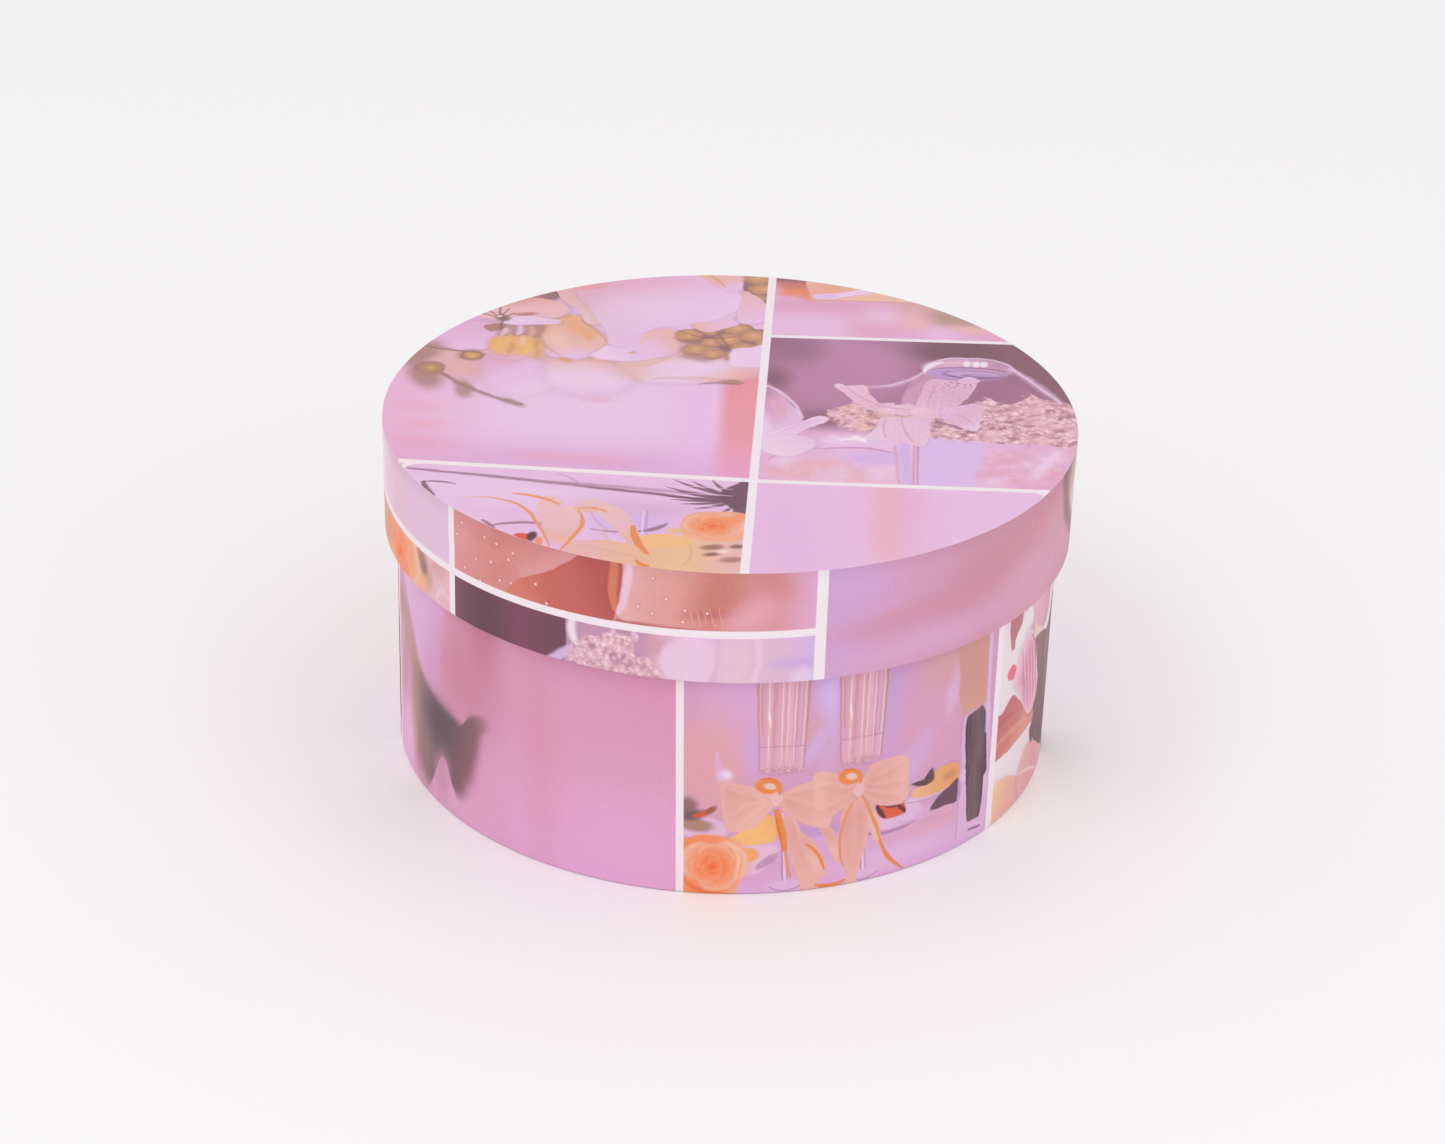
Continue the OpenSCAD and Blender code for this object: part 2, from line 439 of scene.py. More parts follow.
def bouquet_petals(p):
    """The blurred lower petals of the bouquet, its sprigs and its middle petals."""
    p.wobble(3.0, 14)
    p.oval(between(PEACH, LILAC, 0.45), -40, 44, 78, 20, 4, 0.2)
    p.oval(TAN, -104, 34, 14, 16, 30, 0.5, 0.7)
    low_left = [(-96, 42), (-80, 40), (-66, 36), (-64, 20), (-78, 8), (-92, 16)]
    p.petal(low_left, p.fill((-92, 40), (-70, 12), ROSE_LILAC, LILAC, PALE_LILAC), 4.5, 0.12, 0.4)
    p.stroke((214, 160, 170), [(-96, 44), (-88, 38), (-80, 42)], 3.0, 2.0, 0.5, 0.4)
    low_mid = [(-70, 40), (-52, 42), (-38, 30), (-42, 14), (-54, 8), (-68, 18)]
    p.petal(low_mid, p.fill((-56, 42), (-54, 8), PEACH, PALE_LILAC, LILAC), 4.0, 0.14, 0.4)
    p.oval(between(LILAC, CREAM, 0.5), -58, 30, 7, 10, 30, 0.9, 0.6)
    p.oval(between(ROSE_PINK, LILAC, 0.3), -50, 6, 6, 2.6, -10, 0.9, 0.7)
    low_right = [(-42, 40), (-22, 46), (2, 42), (6, 30), (-10, 24), (-34, 24)]
    tones = p.fill((-30, 46), (0, 24), between(TAN, CREAM, 0.5), PALE_LILAC, PEACH)
    p.petal(low_right, tones, 3.6, 0.14, 0.4)
    p.oval(PALE_LILAC, -28, 36, 9, 3.4, 20, 0.9, 0.7)
    p.oval(between(PEACH, TAN, 0.4), -38, 32, 6, 8, -30, 0.9, 0.5)
    p.oval(PALE_LILAC, -8, 38, 8, 3.6, 12, 0.9, 0.7)
    p.stroke(TAN, [(-30, 26), (-14, 28), (4, 25)], 2.6, 1.6, 0.6, 0.5)
    p.stroke(TAN, [(-48, 40), (-34, 38), (-24, 46)], 2.0, 1.4, 0.6, 0.5)
    p.stroke(BROWN, [(-13, 22), (-4, 24), (3, 22)], 1.6, 0.9, 0.7, 0.3)
    p.oval(OLIVE, 0, 25, 4, 2.2, -10, 0.4, 0.8)
    gold = [(-77, 68), (-70, 80), (-62, 84), (-55, 72), (-46, 56), (-56, 44), (-70, 44), (-76, 54)]
    tones = p.fill((-64, 84), (-60, 44), (230, 176, 140), (228, 174, 156), (230, 182, 176), LILAC)
    p.petal(gold, tones, 1.2, 0.3)
    p.stroke((232, 168, 128), [(-66, 84), (-60, 72), (-55, 60)], 6, 2.4, 0.8, 0.5)
    p.stroke((206, 150, 128), [(-62, 86), (-56, 74), (-49, 60)], 1.6, 0.9, 0.7, 0.4)
    p.oval((238, 196, 184), -68, 60, 4, 9, 10, 0.9, 0.7)
    p.stroke((214, 158, 150), [(-76, 66), (-72, 52), (-66, 45)], 1.8, 1.2, 0.6, 0.5)
    p.stroke((238, 190, 156), [(-58, 56), (-50, 52), (-44, 44)], 3.0, 1.8, 0.6, 0.5)
    lap = [(-46, 60), (-36, 68), (-24, 73), (-21, 60), (-24, 48), (-38, 42), (-54, 44)]
    p.petal(lap, p.fill((-52, 46), (-22, 66), PALE_LILAC, LILAC, PEACH), 1.0, 0.25)
    p.stroke(GOLD_LIGHT, [(-36, 58), (-33, 66), (-31, 72)], 2.4, 1.4, 0.6, 0.4)
    p.oval(GOLD, -64, 41.5, 3.2, 2.4, -30, 0.4, 0.9)
    p.oval(GOLD, -39, 50, 1.6, 1.2, 20, 0.5, 0.8)


def bloom(p):
    """The big pale petal of the bouquet and the ones round it."""
    p.wobble(3.0, 14)
    left = [(-120, 58), (-108, 73), (-96, 75), (-90, 66), (-91, 54), (-100, 47), (-112, 50)]
    p.petal(left, p.fill((-106, 76), (-100, 47), ROSE_LILAC, LILAC), 0.8, 0.4)
    p.oval(BROWN, -75, 103, 7, 6, 40, 0.3, 0.9)
    upper = [
        (-106, 84), (-96, 96), (-82, 101), (-70, 97), (-65, 88), (-72, 79), (-84, 75), (-96, 78),
    ]
    tones = p.fill((-84, 100), (-80, 76), (226, 170, 168), (234, 184, 190), (230, 186, 200))
    p.petal(upper, tones, 0.8, 0.4)
    p.oval((214, 150, 146), -88, 96, 12, 3, 28, 0.8, 0.6)
    p.oval((190, 122, 112), -82, 84, 5, 1.8, 8, 0.4, 0.85)
    back = [
        (-71, 108), (-68, 98), (-62, 90), (-56, 76), (-50, 80), (-54, 100), (-60, 118), (-70, 116),
    ]
    p.petal(back, p.fill((-70, 104), (-52, 92), (226, 178, 184), (232, 190, 190)), 0.7, 0.4)
    big = [
        (-64, 120), (-60, 98), (-52, 76), (-46, 56), (-40, 64), (-28, 74), (-12, 80), (0, 92),
        (4, 104), (0, 134), (-46, 136),
    ]
    tones = p.fill((-62, 112), (2, 80), (222, 176, 192), (230, 190, 220), LILAC, PALE_LILAC)
    p.petal(big, tones, 0.8, 0.35, 0.1)
    p.oval(ROSE_PINK, -40, 124, 26, 16, -8, 0.8, 0.6)
    p.oval(PALE_LILAC, -26, 94, 24, 14, 30, 0.8, 0.5)
    p.oval(CORAL, -58, 114, 6, 3, 30, 0.5, 0.7)
    top_petal = [(-16, 134), (-6, 130), (4, 134), (4, 118), (0, 112), (-8, 120)]
    p.petal(top_petal, p.fill((-12, 132), (2, 116), GOLD_LIGHT, PEACH, LILAC), 1.0, 0.2)
    p.stroke(GOLD, [(-14, 134), (-7, 125), (-3, 117)], 1.6, 1.0, 0.7, 0.3)


def pistil(p):
    """A small open flower with thin stamens over a gold cup, and buds on a sprig."""
    p.wobble(1.6, 8)
    p.shape((176, 128, 114), [(-92, 74), (-74, 75), (-76, 60), (-84, 56), (-91, 60)], 1.6, 0.8)
    cup = [(-94, 60), (-86, 62), (-78, 62), (-73, 52), (-74, 42), (-82, 44), (-90, 44), (-94, 50)]
    tones = p.fill((-86, 66), (-84, 42), (226, 172, 126), (230, 176, 116), (232, 178, 150))
    p.petal(cup, tones, 1.4, 0.25)
    for x, y, colour in (
        (-90, 66, (236, 200, 206)), (-84, 68, PALE_LILAC), (-79, 66, (226, 176, 140)),
        (-87, 58, (232, 176, 124)), (-82, 57, (236, 190, 170)), (-77, 56, (206, 152, 116)),
        (-91, 53, (238, 184, 112)), (-86, 50, (204, 150, 112)), (-80, 49, (240, 188, 118)),
        (-76, 46, (206, 156, 122)),
    ):
        p.stroke(colour, [(x, y + 6), (x + 0.6, y), (x - 0.3, y - 5)], 3.0, 1.4, 0.7, 0.3)
    white = [(-92, 76), (-84, 73), (-68, 76), (-72, 80), (-80, 82), (-88, 80)]
    p.petal(white, p.fill((-90, 75), (-68, 78), PALE_LILAC, LILAC), 0.6, 0.35)
    p.shape((170, 120, 108), [(-98, 71), (-92, 74), (-89, 71), (-95, 66)], 0.5, 0.85)
    for x, y in [(-101, 84), (-98, 89), (-93, 92), (-89, 89), (-86, 85)]:
        p.stroke(BROWN, [(x, y), (-92, 79)], 1.0, 0.5, 0.8, 0.6)
    p.stroke(BROWN, [(-92, 84), (-91, 76), (-91, 68)], 1.2, 0.5, 0.8)
    p.oval(BROWN, -91, 79, 3.2, 2.6, 0, 0.5, 0.9)
    p.oval(PAPER_WHITE, -92.5, 80.5, 1.2, 0.8, 30, 0.4, 0.8)
    # the sprig at the left
    p.oval(OLIVE, -121, 45, 8, 12, -25, 0.5, 0.85)
    p.stroke(BROWN, [(-121, 52), (-110, 47), (-99, 47)], 1.2, 0.5, 0.85, 0.3)
    p.stroke(BROWN, [(-116, 34), (-98, 12), (-78, -1)], 2.2, 1.2, 0.75, 0.8)
    p.oval(OLIVE, -117, 24, 6, 13, 16, 0.5, 0.85)
    p.oval(OLIVE, -101, 12, 3.6, 8, 10, 0.5, 0.8)
    p.oval(OLIVE, -82, 1, 6, 2.4, -34, 0.5, 0.7)
    p.berry(-116, 29, 6.0, (214, 168, 118), (186, 140, 108), OLIVE)
    p.oval(BROWN, -101, 43, 5.2, 5.4, 0, 0.4, 0.5)
    p.berry(-101, 42, 4.4, (226, 176, 116), (204, 152, 108), (160, 118, 104))


def berries(p):
    """Clusters of gold buds in the shade between the petals."""
    p.wobble(2.0, 8)
    hollow = (150, 108, 112)
    edge = [(-20, 62), (-19, 72), (-8, 77), (13, 84), (14, 60), (4, 54), (-8, 57)]
    p.shape(hollow, edge, 2.4, 0.95)
    edge = [(-20, 48), (-18, 60), (-9, 60), (-5, 50), (-9, 43), (-15, 44)]
    p.shape((176, 132, 128), edge, 3.2, 0.8)
    p.shape(hollow, [(-6, 60), (-4, 49), (3, 44), (12, 47), (14, 62), (4, 64)], 2.2, 0.9)
    p.shape(hollow, [(4, 104), (6, 134), (16, 134), (16, 98), (10, 100)], 1.6, 0.95)
    spots = [
        (-18, 67, 5.6), (-9, 72, 4.0), (1, 75, 5.8), (10, 80, 5.2), (-9, 61, 4.4), (-15, 54, 5.2),
        (-2, 64, 5.6), (7, 68, 5.8), (13, 62, 4.6), (4, 56, 5.4), (-8, 50, 4.6), (1, 49, 4.8),
        (9, 126, 6.2), (11, 115, 5.6), (8, 105, 5.0),
    ]
    for x, y, r in spots:
        p.berry(x, y, r, (222, 172, 134), (204, 152, 118), (186, 140, 118))
        path = [(x - r, y - 1), (x, y - r * 0.9), (x + r, y - 1)]
        p.stroke((162, 116, 104), path, r * 0.4, 0.9, 0.5, 0.3)
    p.stroke((140, 96, 100), [(-22, 72), (-8, 66), (4, 70)], 1.4, 0.7, 0.6, 0.3)
    p.stroke((140, 96, 100), [(-10, 80), (-4, 66), (-2, 54)], 1.4, 0.7, 0.6, 0.3)
    for points in (
        [(-16, 79), (-8, 82), (0, 84), (2, 80), (-8, 72), (-13, 73)],
        [(0, 86), (8, 92), (14, 90), (13, 78), (9, 76), (5, 82)],
        [(3, 113), (9, 109), (14, 98), (14, 86), (6, 80), (1, 86), (3, 100)],
    ):
        p.petal(points, p.fill(points[0], points[3], PEACH, LILAC), 0.7, 0.25)
    p.petal([(0, 55), (6, 58), (14, 60), (15, 42), (0, 40)], PALE_LILAC, 1.2, 0.15)


def folded_paper(p):
    """A folded peach paper and a blurred leaf."""
    p.oval((224, 162, 188), 34, 100, 26, 10, 0, 0.8, 0.8)
    p.oval(LILAC, 30, 80, 26, 13, 0, 0.8, 0.9)
    p.oval((226, 164, 190), 56, 80, 10, 10, 0, 0.8, 0.8)
    p.oval(PALE_LILAC, 60, 92, 8, 8, 0, 0.9, 0.5)
    p.oval((216, 168, 166), 80, 102, 20, 10, -32, 0.6, 0.9)
    p.oval(PEACH, 72, 88, 7, 10, 20, 0.8, 0.7)
    p.oval((186, 152, 140), 88, 91, 11, 8, -40, 0.5, 0.95)
    p.oval(PEACH, 94, 81, 9, 4, -20, 0.7, 0.9)
    p.oval(LILAC, 82, 76, 7, 6, 0, 0.8, 0.8)
    p.oval(ROSE_PINK, 103, 74, 6, 6, 0, 0.7, 0.7)
    p.wobble(1.2, 8)
    patch = [(12, 136), (30, 136), (32, 108), (24, 109), (12, 114)]
    orange = p.fill((23, 108), (24, 128), (228, 150, 142), (230, 142, 110), (204, 124, 116), PLUM)
    p.shape(orange, patch, 1.4)
    p.oval(ROSE_LILAC, 15, 113, 4, 9, 0, 0.8, 0.8)
    sheet = [(31, 107), (28, 134), (62, 134), (78, 107)]
    paper = p.fill(
        (34, 130), (62, 108), (230, 178, 168), (232, 170, 146), (238, 188, 164), (234, 186, 170),
    )
    p.shape(paper, sheet, 0.4, 1, True)
    edge = [(33, 108.4), (33, 112), (44, 115), (52, 119), (60, 117), (50, 112), (40, 108)]
    p.shape(PALE_LILAC, edge, 1.2)
    p.oval(BLUE_LILAC, 37, 110.5, 4, 2.2, 10, 0.6, 0.6)
    p.stroke((214, 160, 150), [(41, 108), (50, 112.5), (60, 117)], 0.7, 0.4, 0.6)
    p.stroke((208, 150, 156), [(30, 106.8), (74, 106.8)], 0.8, 0.5, 0.7)


def jars_ground(p):
    """Plum ground, paler below, with blurred blossoms."""
    p.oval((190, 134, 172), 48, 44, 24, 38, 10, 0.6)
    p.oval((188, 132, 168), 32, 24, 17, 30, 0, 0.8, 0.95)
    p.oval((150, 104, 128), 26, 58, 9, 12, 0, 0.8, 0.7)
    p.oval((128, 92, 104), 92, 60, 22, 11, 0, 0.5)
    p.oval((142, 98, 112), 116, 44, 12, 26, 16, 0.6)
    p.oval((140, 96, 112), 16, 30, 6, 9, 0, 0.8, 0.9)
    p.oval((150, 104, 124), 36, -3, 10, 6, 0, 0.7, 0.8)
    low = p.in_side(60, -14, 180, 6)
    p.lay(p.fill((20, 0), (120, -50), ROSE_LILAC, LILAC, ROSE_LILAC), low)
    for x, y, r in (
        (24, -50, 10), (34, -44, 8), (46, -54, 11), (104, -36, 9), (100, -50, 9), (114, -46, 8),
    ):
        p.oval((232, 176, 184), x, y, r, r * 0.6, 10, 0.9, 0.7)
    for x, y, r in (
        (20, -42, 5), (38, -52, 6), (54, -50, 6), (110, -40, 6), (118, -34, 7), (96, -54, 5),
    ):
        p.oval(PALE_LILAC, x, y, r, r * 0.8, 30, 0.9, 0.8)
    p.oval(p.puffs(6.0, PALE_LILAC, ROSE_PINK, (204, 150, 172)), 108, -42, 20, 16, 0, 0.7, 0.4)
    p.oval(p.puffs(6.0, PALE_LILAC, PEACH, (212, 160, 176)), 36, -50, 24, 8, 0, 0.7, 0.35)


def jar_glass(p):
    """The domed lid of the big jar, and the shoulder of the one beside it."""
    p.wobble(0.8, 7)
    dome = [
        (64, 6), (68, 28), (74, 38), (80, 50), (92, 54), (106, 50), (113, 38), (124, 18), (132, 2),
        (132, -20), (98, -20), (70, -16),
    ]
    tones = p.fill((70, 30), (124, 20), ROSE_LILAC, (172, 118, 150), (188, 132, 160))
    p.shape(tones, dome, 0.8, 0.6)
    p.stroke((226, 190, 216), [(50, 24), (62, 27), (74, 40)], 2.4, 1.2, 0.6, 0.6)
    p.stroke(PALE_LILAC, [(52, 25.5), (64, 29), (75, 42)], 0.9, 0.5, 0.7, 0.5)
    p.stroke(PLUM_LIGHT, [(58, 18), (66, 24), (74, 36)], 2.2, 1.2, 0.5, 0.5)
    p.oval((214, 168, 202), 91, 44, 17.5, 9.5, -2, 0.1, 0.85)
    p.oval((178, 126, 156), 84, 49.5, 5, 3, 14, 0.6, 0.7)
    p.oval((190, 138, 168), 103, 47, 4, 4, -30, 0.7, 0.7)
    p.oval((232, 186, 206), 86, 49, 6, 2.8, 14, 0.5, 0.8)
    p.stroke((140, 100, 140), [(75, 42), (91, 45), (107, 42)], 1.2, 0.6, 0.75, 0.5)
    p.oval((190, 150, 200), 90, 38.5, 14.5, 5.6, -2, 0.15, 0.95)
    p.oval((142, 104, 142), 93, 38.4, 12, 4.0, -2, 0.12, 0.8)
    p.oval((206, 168, 210), 93, 39.0, 10.6, 2.9, -2, 0.15, 0.9)
    p.oval((136, 98, 136), 95, 37.4, 7, 1.5, -4, 0.2, 0.7)
    p.oval((200, 158, 204), 96, 37.8, 5.4, 0.7, -4, 0.3, 0.9)
    p.stroke(PALE_LILAC, [(74, 38), (80, 51), (92, 53.5)], 1.3, 0.6, 0.85)
    p.stroke(PALE_LILAC, [(92, 54), (105, 50.5), (109, 43)], 1.3, 0.6, 0.8)
    p.stroke(LILAC, [(107, 46), (115, 34), (126, 13)], 3.4, 1.6, 0.6, 0.6)
    p.stroke(PALE_LILAC, [(109, 44), (118, 28), (129, 8)], 1.0, 0.5, 0.8)
    p.stroke((150, 106, 138), [(103, 44), (111, 32), (120, 16)], 1.6, 1.0, 0.5, 0.5)
    for x in (91, 94.5, 97.5):
        p.oval(PAPER_WHITE, x, 48.4, 1.5, 2.6, 0, 0.4, 0.9)
    p.stroke(PAPER_WHITE, [(74, 40), (77, 46), (82, 50)], 2.8, 1.0, 0.85, 0.5)
    shoulder = [(8, 26), (17, 21), (22, 8), (27, -5), (22, -14), (8, -14)]
    p.shape(p.fill((10, 10), (26, 4), (196, 146, 176), ROSE_LILAC, LILAC), shoulder, 1.0, 0.9)
    p.stroke(PALE_LILAC, [(12, 23.5), (19, 17), (27, -5)], 1.4, 0.7, 0.85)
    p.stroke((226, 166, 186), [(12, 12), (17, 8), (20, -6)], 3.0, 1.6, 0.7, 0.5)


def front_glass(p):
    """The shoulder of the glass in front, with the pale cloth below it."""
    p.wobble(0.8, 7)
    p.oval(LILAC, 48, -26, 15, 5, 0, 0.7, 0.9)
    p.oval(BLUE_LILAC, 54, -38, 10, 5.5, 0, 0.7, 0.8)
    p.stroke((188, 134, 172), [(34, -31), (50, -29.5), (62, -34)], 1.6, 0.8, 0.7, 0.5)
    p.stroke((200, 150, 190), [(14, -42), (22, -33), (36, -31)], 1.4, 0.9, 0.6, 0.5)
    patch = [(72, -20), (90, -20), (93, -30), (92, -40), (89, -50), (88, -62), (70, -62), (70, -40)]
    p.shape(between(BLUE_LILAC, PALE_LILAC, 0.35), patch, 1.6, 0.95)
    p.stroke(BLUE_LILAC, [(64.5, -24), (64, -44), (64.5, -62)], 4.2, 1.2, 0.9)
    p.stroke((212, 166, 196), [(61, -26), (61, -44), (61.5, -62)], 1.2, 0.6, 0.8)
    p.stroke((200, 148, 176), [(69, -22), (68, -40), (67, -62)], 2.2, 0.8, 0.9)
    p.stroke(PALE_LILAC, [(68.6, -24), (68, -38), (67, -60)], 0.6, 0.3, 0.7)
    for turn in (64, 70, 58):
        p.oval(PALE_LILAC, 110 + turn / 12, -36 - turn / 20, 12, 1.6, turn, 0.8, 0.5)


def dried_flowers(p):
    """Two drifts of tiny puffed blossoms with dark gaps between them."""
    p.wobble(1.3, 2.0)
    fine = p.puffs(4.2, (250, 222, 226), (234, 190, 202), (192, 138, 156))
    small = p.puffs(2.6, (248, 216, 218), (228, 180, 190), (188, 134, 150))
    fine = p.mix(p.step(p.noise(4, 2.0), 0.42, 0.58, 0, 1), fine, small)
    fine = p.mix(p.step(p.noise(5, 3.0), 0.54, 0.66, 0, 0.8), fine, linear((168, 118, 138)))
    fine = p.mix(p.step(p.noise(11, 3.0), 0.5, 0.7, 0, 0.6), fine, linear((232, 184, 198)))
    right = [
        (72, -4), (80, 8), (90, 10), (97, 17), (106, 13), (112, 21), (124, 15), (136, 12),
        (136, -22), (112, -22), (90, -21), (74, -18),
    ]
    warm = p.mix(p.step(p.noise(9, 1.0), 0.4, 0.65, 0, 0.3), fine, linear((234, 184, 160)))
    p.wobble(7, 3.5)
    p.shape(fine, right, 1.4)
    p.shape(warm, [(37, 0), (45, 9), (54, 9), (72, 9), (76, -8), (56, -14), (44, -14)], 1.4)
    p.stroke((150, 104, 124), [(76, -4), (84, -8), (94, -10)], 2.6, 0.9, 0.75, 0.5)
    p.stroke((150, 104, 124), [(94, -5), (100, -8), (106, -6)], 1.8, 0.8, 0.6, 0.4)
    p.stroke((160, 112, 130), [(56, 2), (61, 3), (66, 1)], 1.8, 0.8, 0.6, 0.4)
    p.oval(PALE_LILAC, 44, -22, 10, 3.2, 8, 0.6, 0.8)
    p.oval(PAPER_WHITE, 46, -22, 5, 2.0, 2, 0.4, 0.95)


def lace_bow(p):
    """A bow of lace ribbon round the jar's neck, and a plain one beside it."""
    p.wobble(1.2, 3.5)
    plain = p.fill((16, -20), (36, -4), PALE_LILAC, LILAC, PALE_LILAC)
    edge = [(14, -20), (24, -10), (33, -3), (37, -6), (28, -15), (20, -24)]
    p.petal(edge, plain, 0.6, 0.25, 0.12)
    edge = [(12, -26), (20, -20), (30, -22), (31, -30), (22, -38), (13, -35)]
    p.petal(edge, p.fill((14, -36), (30, -22), (240, 208, 226), LILAC), 0.8, 0.2)
    p.stroke(ROSE_LILAC, [(17, -19), (25, -12), (34, -5)], 0.8, 0.5, 0.6, 0.4)
    p.oval(PALE_LILAC, 12, -18, 4, 16, 4, 0.6, 0.9)
    weave = p.step(p.cells(1.3), 0.25, 0.5, 0, 0.22)
    wings = (
        ([(54, 10.6), (64, 9.4), (73, 9), (75, 3), (68, 0), (58, 1.4), (51, 5), (49, 9)],
         ((232, 188, 210), (238, 196, 218), (234, 188, 210))),
        ([(37.4, 28.6), (43, 25), (51, 26), (52.6, 18), (56, 10), (54, 4.6), (48.6, 8), (44, 16)],
         (PALE_LILAC, (236, 192, 216), (234, 188, 208))),
        ([(70, 8), (72, 20), (76, 33), (86, 33), (93, 37), (94, 30), (90, 18), (84, 8), (77, 3)],
         ((234, 190, 216), (226, 178, 206), LILAC)),
        ([(74, 0), (66, -2), (57, -2), (54, -12), (50, -22), (61, -22), (71, -26), (74, -16)],
         (LILAC, (236, 196, 218), PALE_LILAC)),
        ([(76, 3), (84, 9), (94, 12), (94, 0), (92, -11), (87, -10), (80, -3)],
         (LILAC, (230, 184, 212), PALE_LILAC)),
    )
    for points, colours in wings:
        p.petal(points, p.fill(points[0], points[4], *colours), 0.4, 0.3, 0.1)
        p.lay((206, 150, 176), p.math("MULTIPLY", weave, p.in_shape(points, 0.4)))
    holes = p.step(p.cells(2.4), 0.16, 0.3, 0.75, 0)
    p.lay((150, 106, 138), p.math("MULTIPLY", holes, p.in_oval(86, 29, 6.5, 3.6, 8, 0.3)))
    p.lay((178, 128, 156), p.math("MULTIPLY", holes, p.in_oval(80, 18, 7, 8, 60, 0.4, 0.5)))
    for bend in (
        [(44, 24), (50, 14), (60, 7)], [(58, -4), (57, -12), (58, -20)],
        [(64, -4), (65, -14), (68, -24)], [(82, 3), (87, 0), (91, -8)],
        [(74, 8), (76, 20), (79, 31)], [(52, 8), (62, 6), (74, 4)],
    ):
        p.stroke((210, 152, 182), bend, 0.9, 0.5, 0.7, 0.3)
    knot = [(67, 4), (71, 8), (78, 5), (78, -1), (71, -2.4)]
    p.petal(knot, p.fill((67, 6), (78, -2), (238, 196, 216), (230, 180, 204)), 0.8, 0.2)


def laid_cloth(p):
    """A pale laid cloth with long creases, a dark plume, small dark marks and a red berry,
    and the rounded corner of the white line above them."""
    p.lay(DEEP_LILAC, p.step(p.noise(16, 2.0, (2.5, 0.6)), 0.4, 0.7, 0, 0.35))
    p.oval(PALE_LILAC, -74, -74, 36, 9, -8, 0.9, 0.6)
    p.oval(BLUE_LILAC, -34, -96, 14, 8, -6, 0.8, 0.8)
    p.oval((214, 168, 206), -30, -84, 22, 6, -10, 0.8, 0.6)
    p.wobble(0.8, 9)
    p.stroke((176, 132, 160), [(-120, -55.5), (-112, -57.5), (-104, -58)], 1.2, 0.6, 0.5)
    p.stroke((160, 116, 142), [(-116, -57.5), (-60, -66), (8, -79)], 2.4, 0.8, 0.9, 0.5)
    p.stroke((186, 140, 170), [(-70, -64), (-30, -68.5), (8, -74)], 2.2, 0.9, 0.8, 0.5)
    p.stroke((150, 104, 128), [(-50, -68.5), (-24, -72.5), (8, -79)], 1.6, 0.6, 0.9, 0.5)
    p.stroke((196, 150, 180), [(-62, -58), (-57, -61), (-53, -66)], 1.0, 0.5, 0.7, 0.4)
    p.shape((110, 76, 90), [(8, -60), (2, -63), (-3, -70), (-1, -78), (8, -88)], 1.0, 0.95)
    spikes = (
        (-20, -60), (-13, -61), (-6, -59.5), (-23, -66), (-18, -69.5), (-26, -72.5), (-21, -76),
        (-17, -79.5), (-12, -83), (-3, -86), (1, -89),
    )
    for x, y in spikes:
        path = [(x, y), ((x + 5) / 2, (y - 75) / 2 - 1), (6, -74)]
        p.stroke((118, 82, 98), path, 2.0, 0.5, 0.9, 0.12)
    for y in (-66, -71.5, -81):
        p.stroke(LILAC, [(-16, y + 1), (2, y - 0.6)], 0.9, 0.4, 0.7, 0.3)
    p.stroke((134, 96, 116), [(-110, -68), (-104, -67.4), (-97, -69)], 1.3, 0.5, 0.9, 0.4)
    p.stroke((126, 88, 106), [(-109, -67), (-108, -72), (-104, -78)], 2.6, 0.7, 0.9, 0.4)
    p.stroke(PLUM, [(-86, -96), (-82, -101), (-80, -106)], 1.8, 0.6, 0.8, 0.5)
    p.stroke(PLUM, [(-82, -101), (-78, -98.6), (-61, -98.4)], 1.8, 0.6, 0.85, 0.7)
    p.stroke(PLUM, [(-48, -101), (-40, -102.4), (-32, -101)], 1.2, 0.5, 0.8, 0.5)
    p.stroke(PLUM, [(-31, -102), (-26, -100), (-21, -95)], 2.6, 0.7, 0.85, 0.4)
    p.oval((220, 90, 76), -71, -108.5, 3.6, 2.8, -10, 0.3)
    p.oval((84, 58, 62), -67.6, -107.6, 1.8, 3.4, -6, 0.3, 0.95)
    p.oval(ORANGE, -65, -111, 1.4, 2.8, 0, 0.4, 0.9)
    p.stroke(PAPER_WHITE, [(-110, -52.4), (-117, -55), (-119.5, -66)], 2.6, 0.3)


def ribbons(p):
    """Curls of ribbon and an orange rose on a peach napkin."""
    p.wobble(0.8, 6)
    napkin(p)
    ribbon_loops(p)
    ribbon_curls(p)
    cloth_rose(p)


def napkin(p):
    """The napkin under the ribbons, with its creases."""
    edge = [
        (-56, -114), (-44, -109), (-28, -112), (-16, -107), (8, -110), (8, -136), (-30, -136),
        (-46, -126),
    ]
    tones = p.fill((-52, -116), (4, -118), PEACH, (234, 182, 156), (236, 188, 150), PEACH)
    p.petal(edge, tones, 0.9, 0.15, 0.08)
    edge = [(-30, -105), (-20, -103), (-12, -106), (-16, -112), (-28, -113)]
    p.shape((242, 188, 132), edge, 0.8, 0.95)
    p.stroke((220, 160, 146), [(-52, -113), (-38, -118), (-26, -124)], 0.9, 0.5, 0.6, 0.4)
    p.stroke((220, 160, 146), [(-14, -109), (-12, -118), (-16, -128)], 0.9, 0.5, 0.5, 0.4)


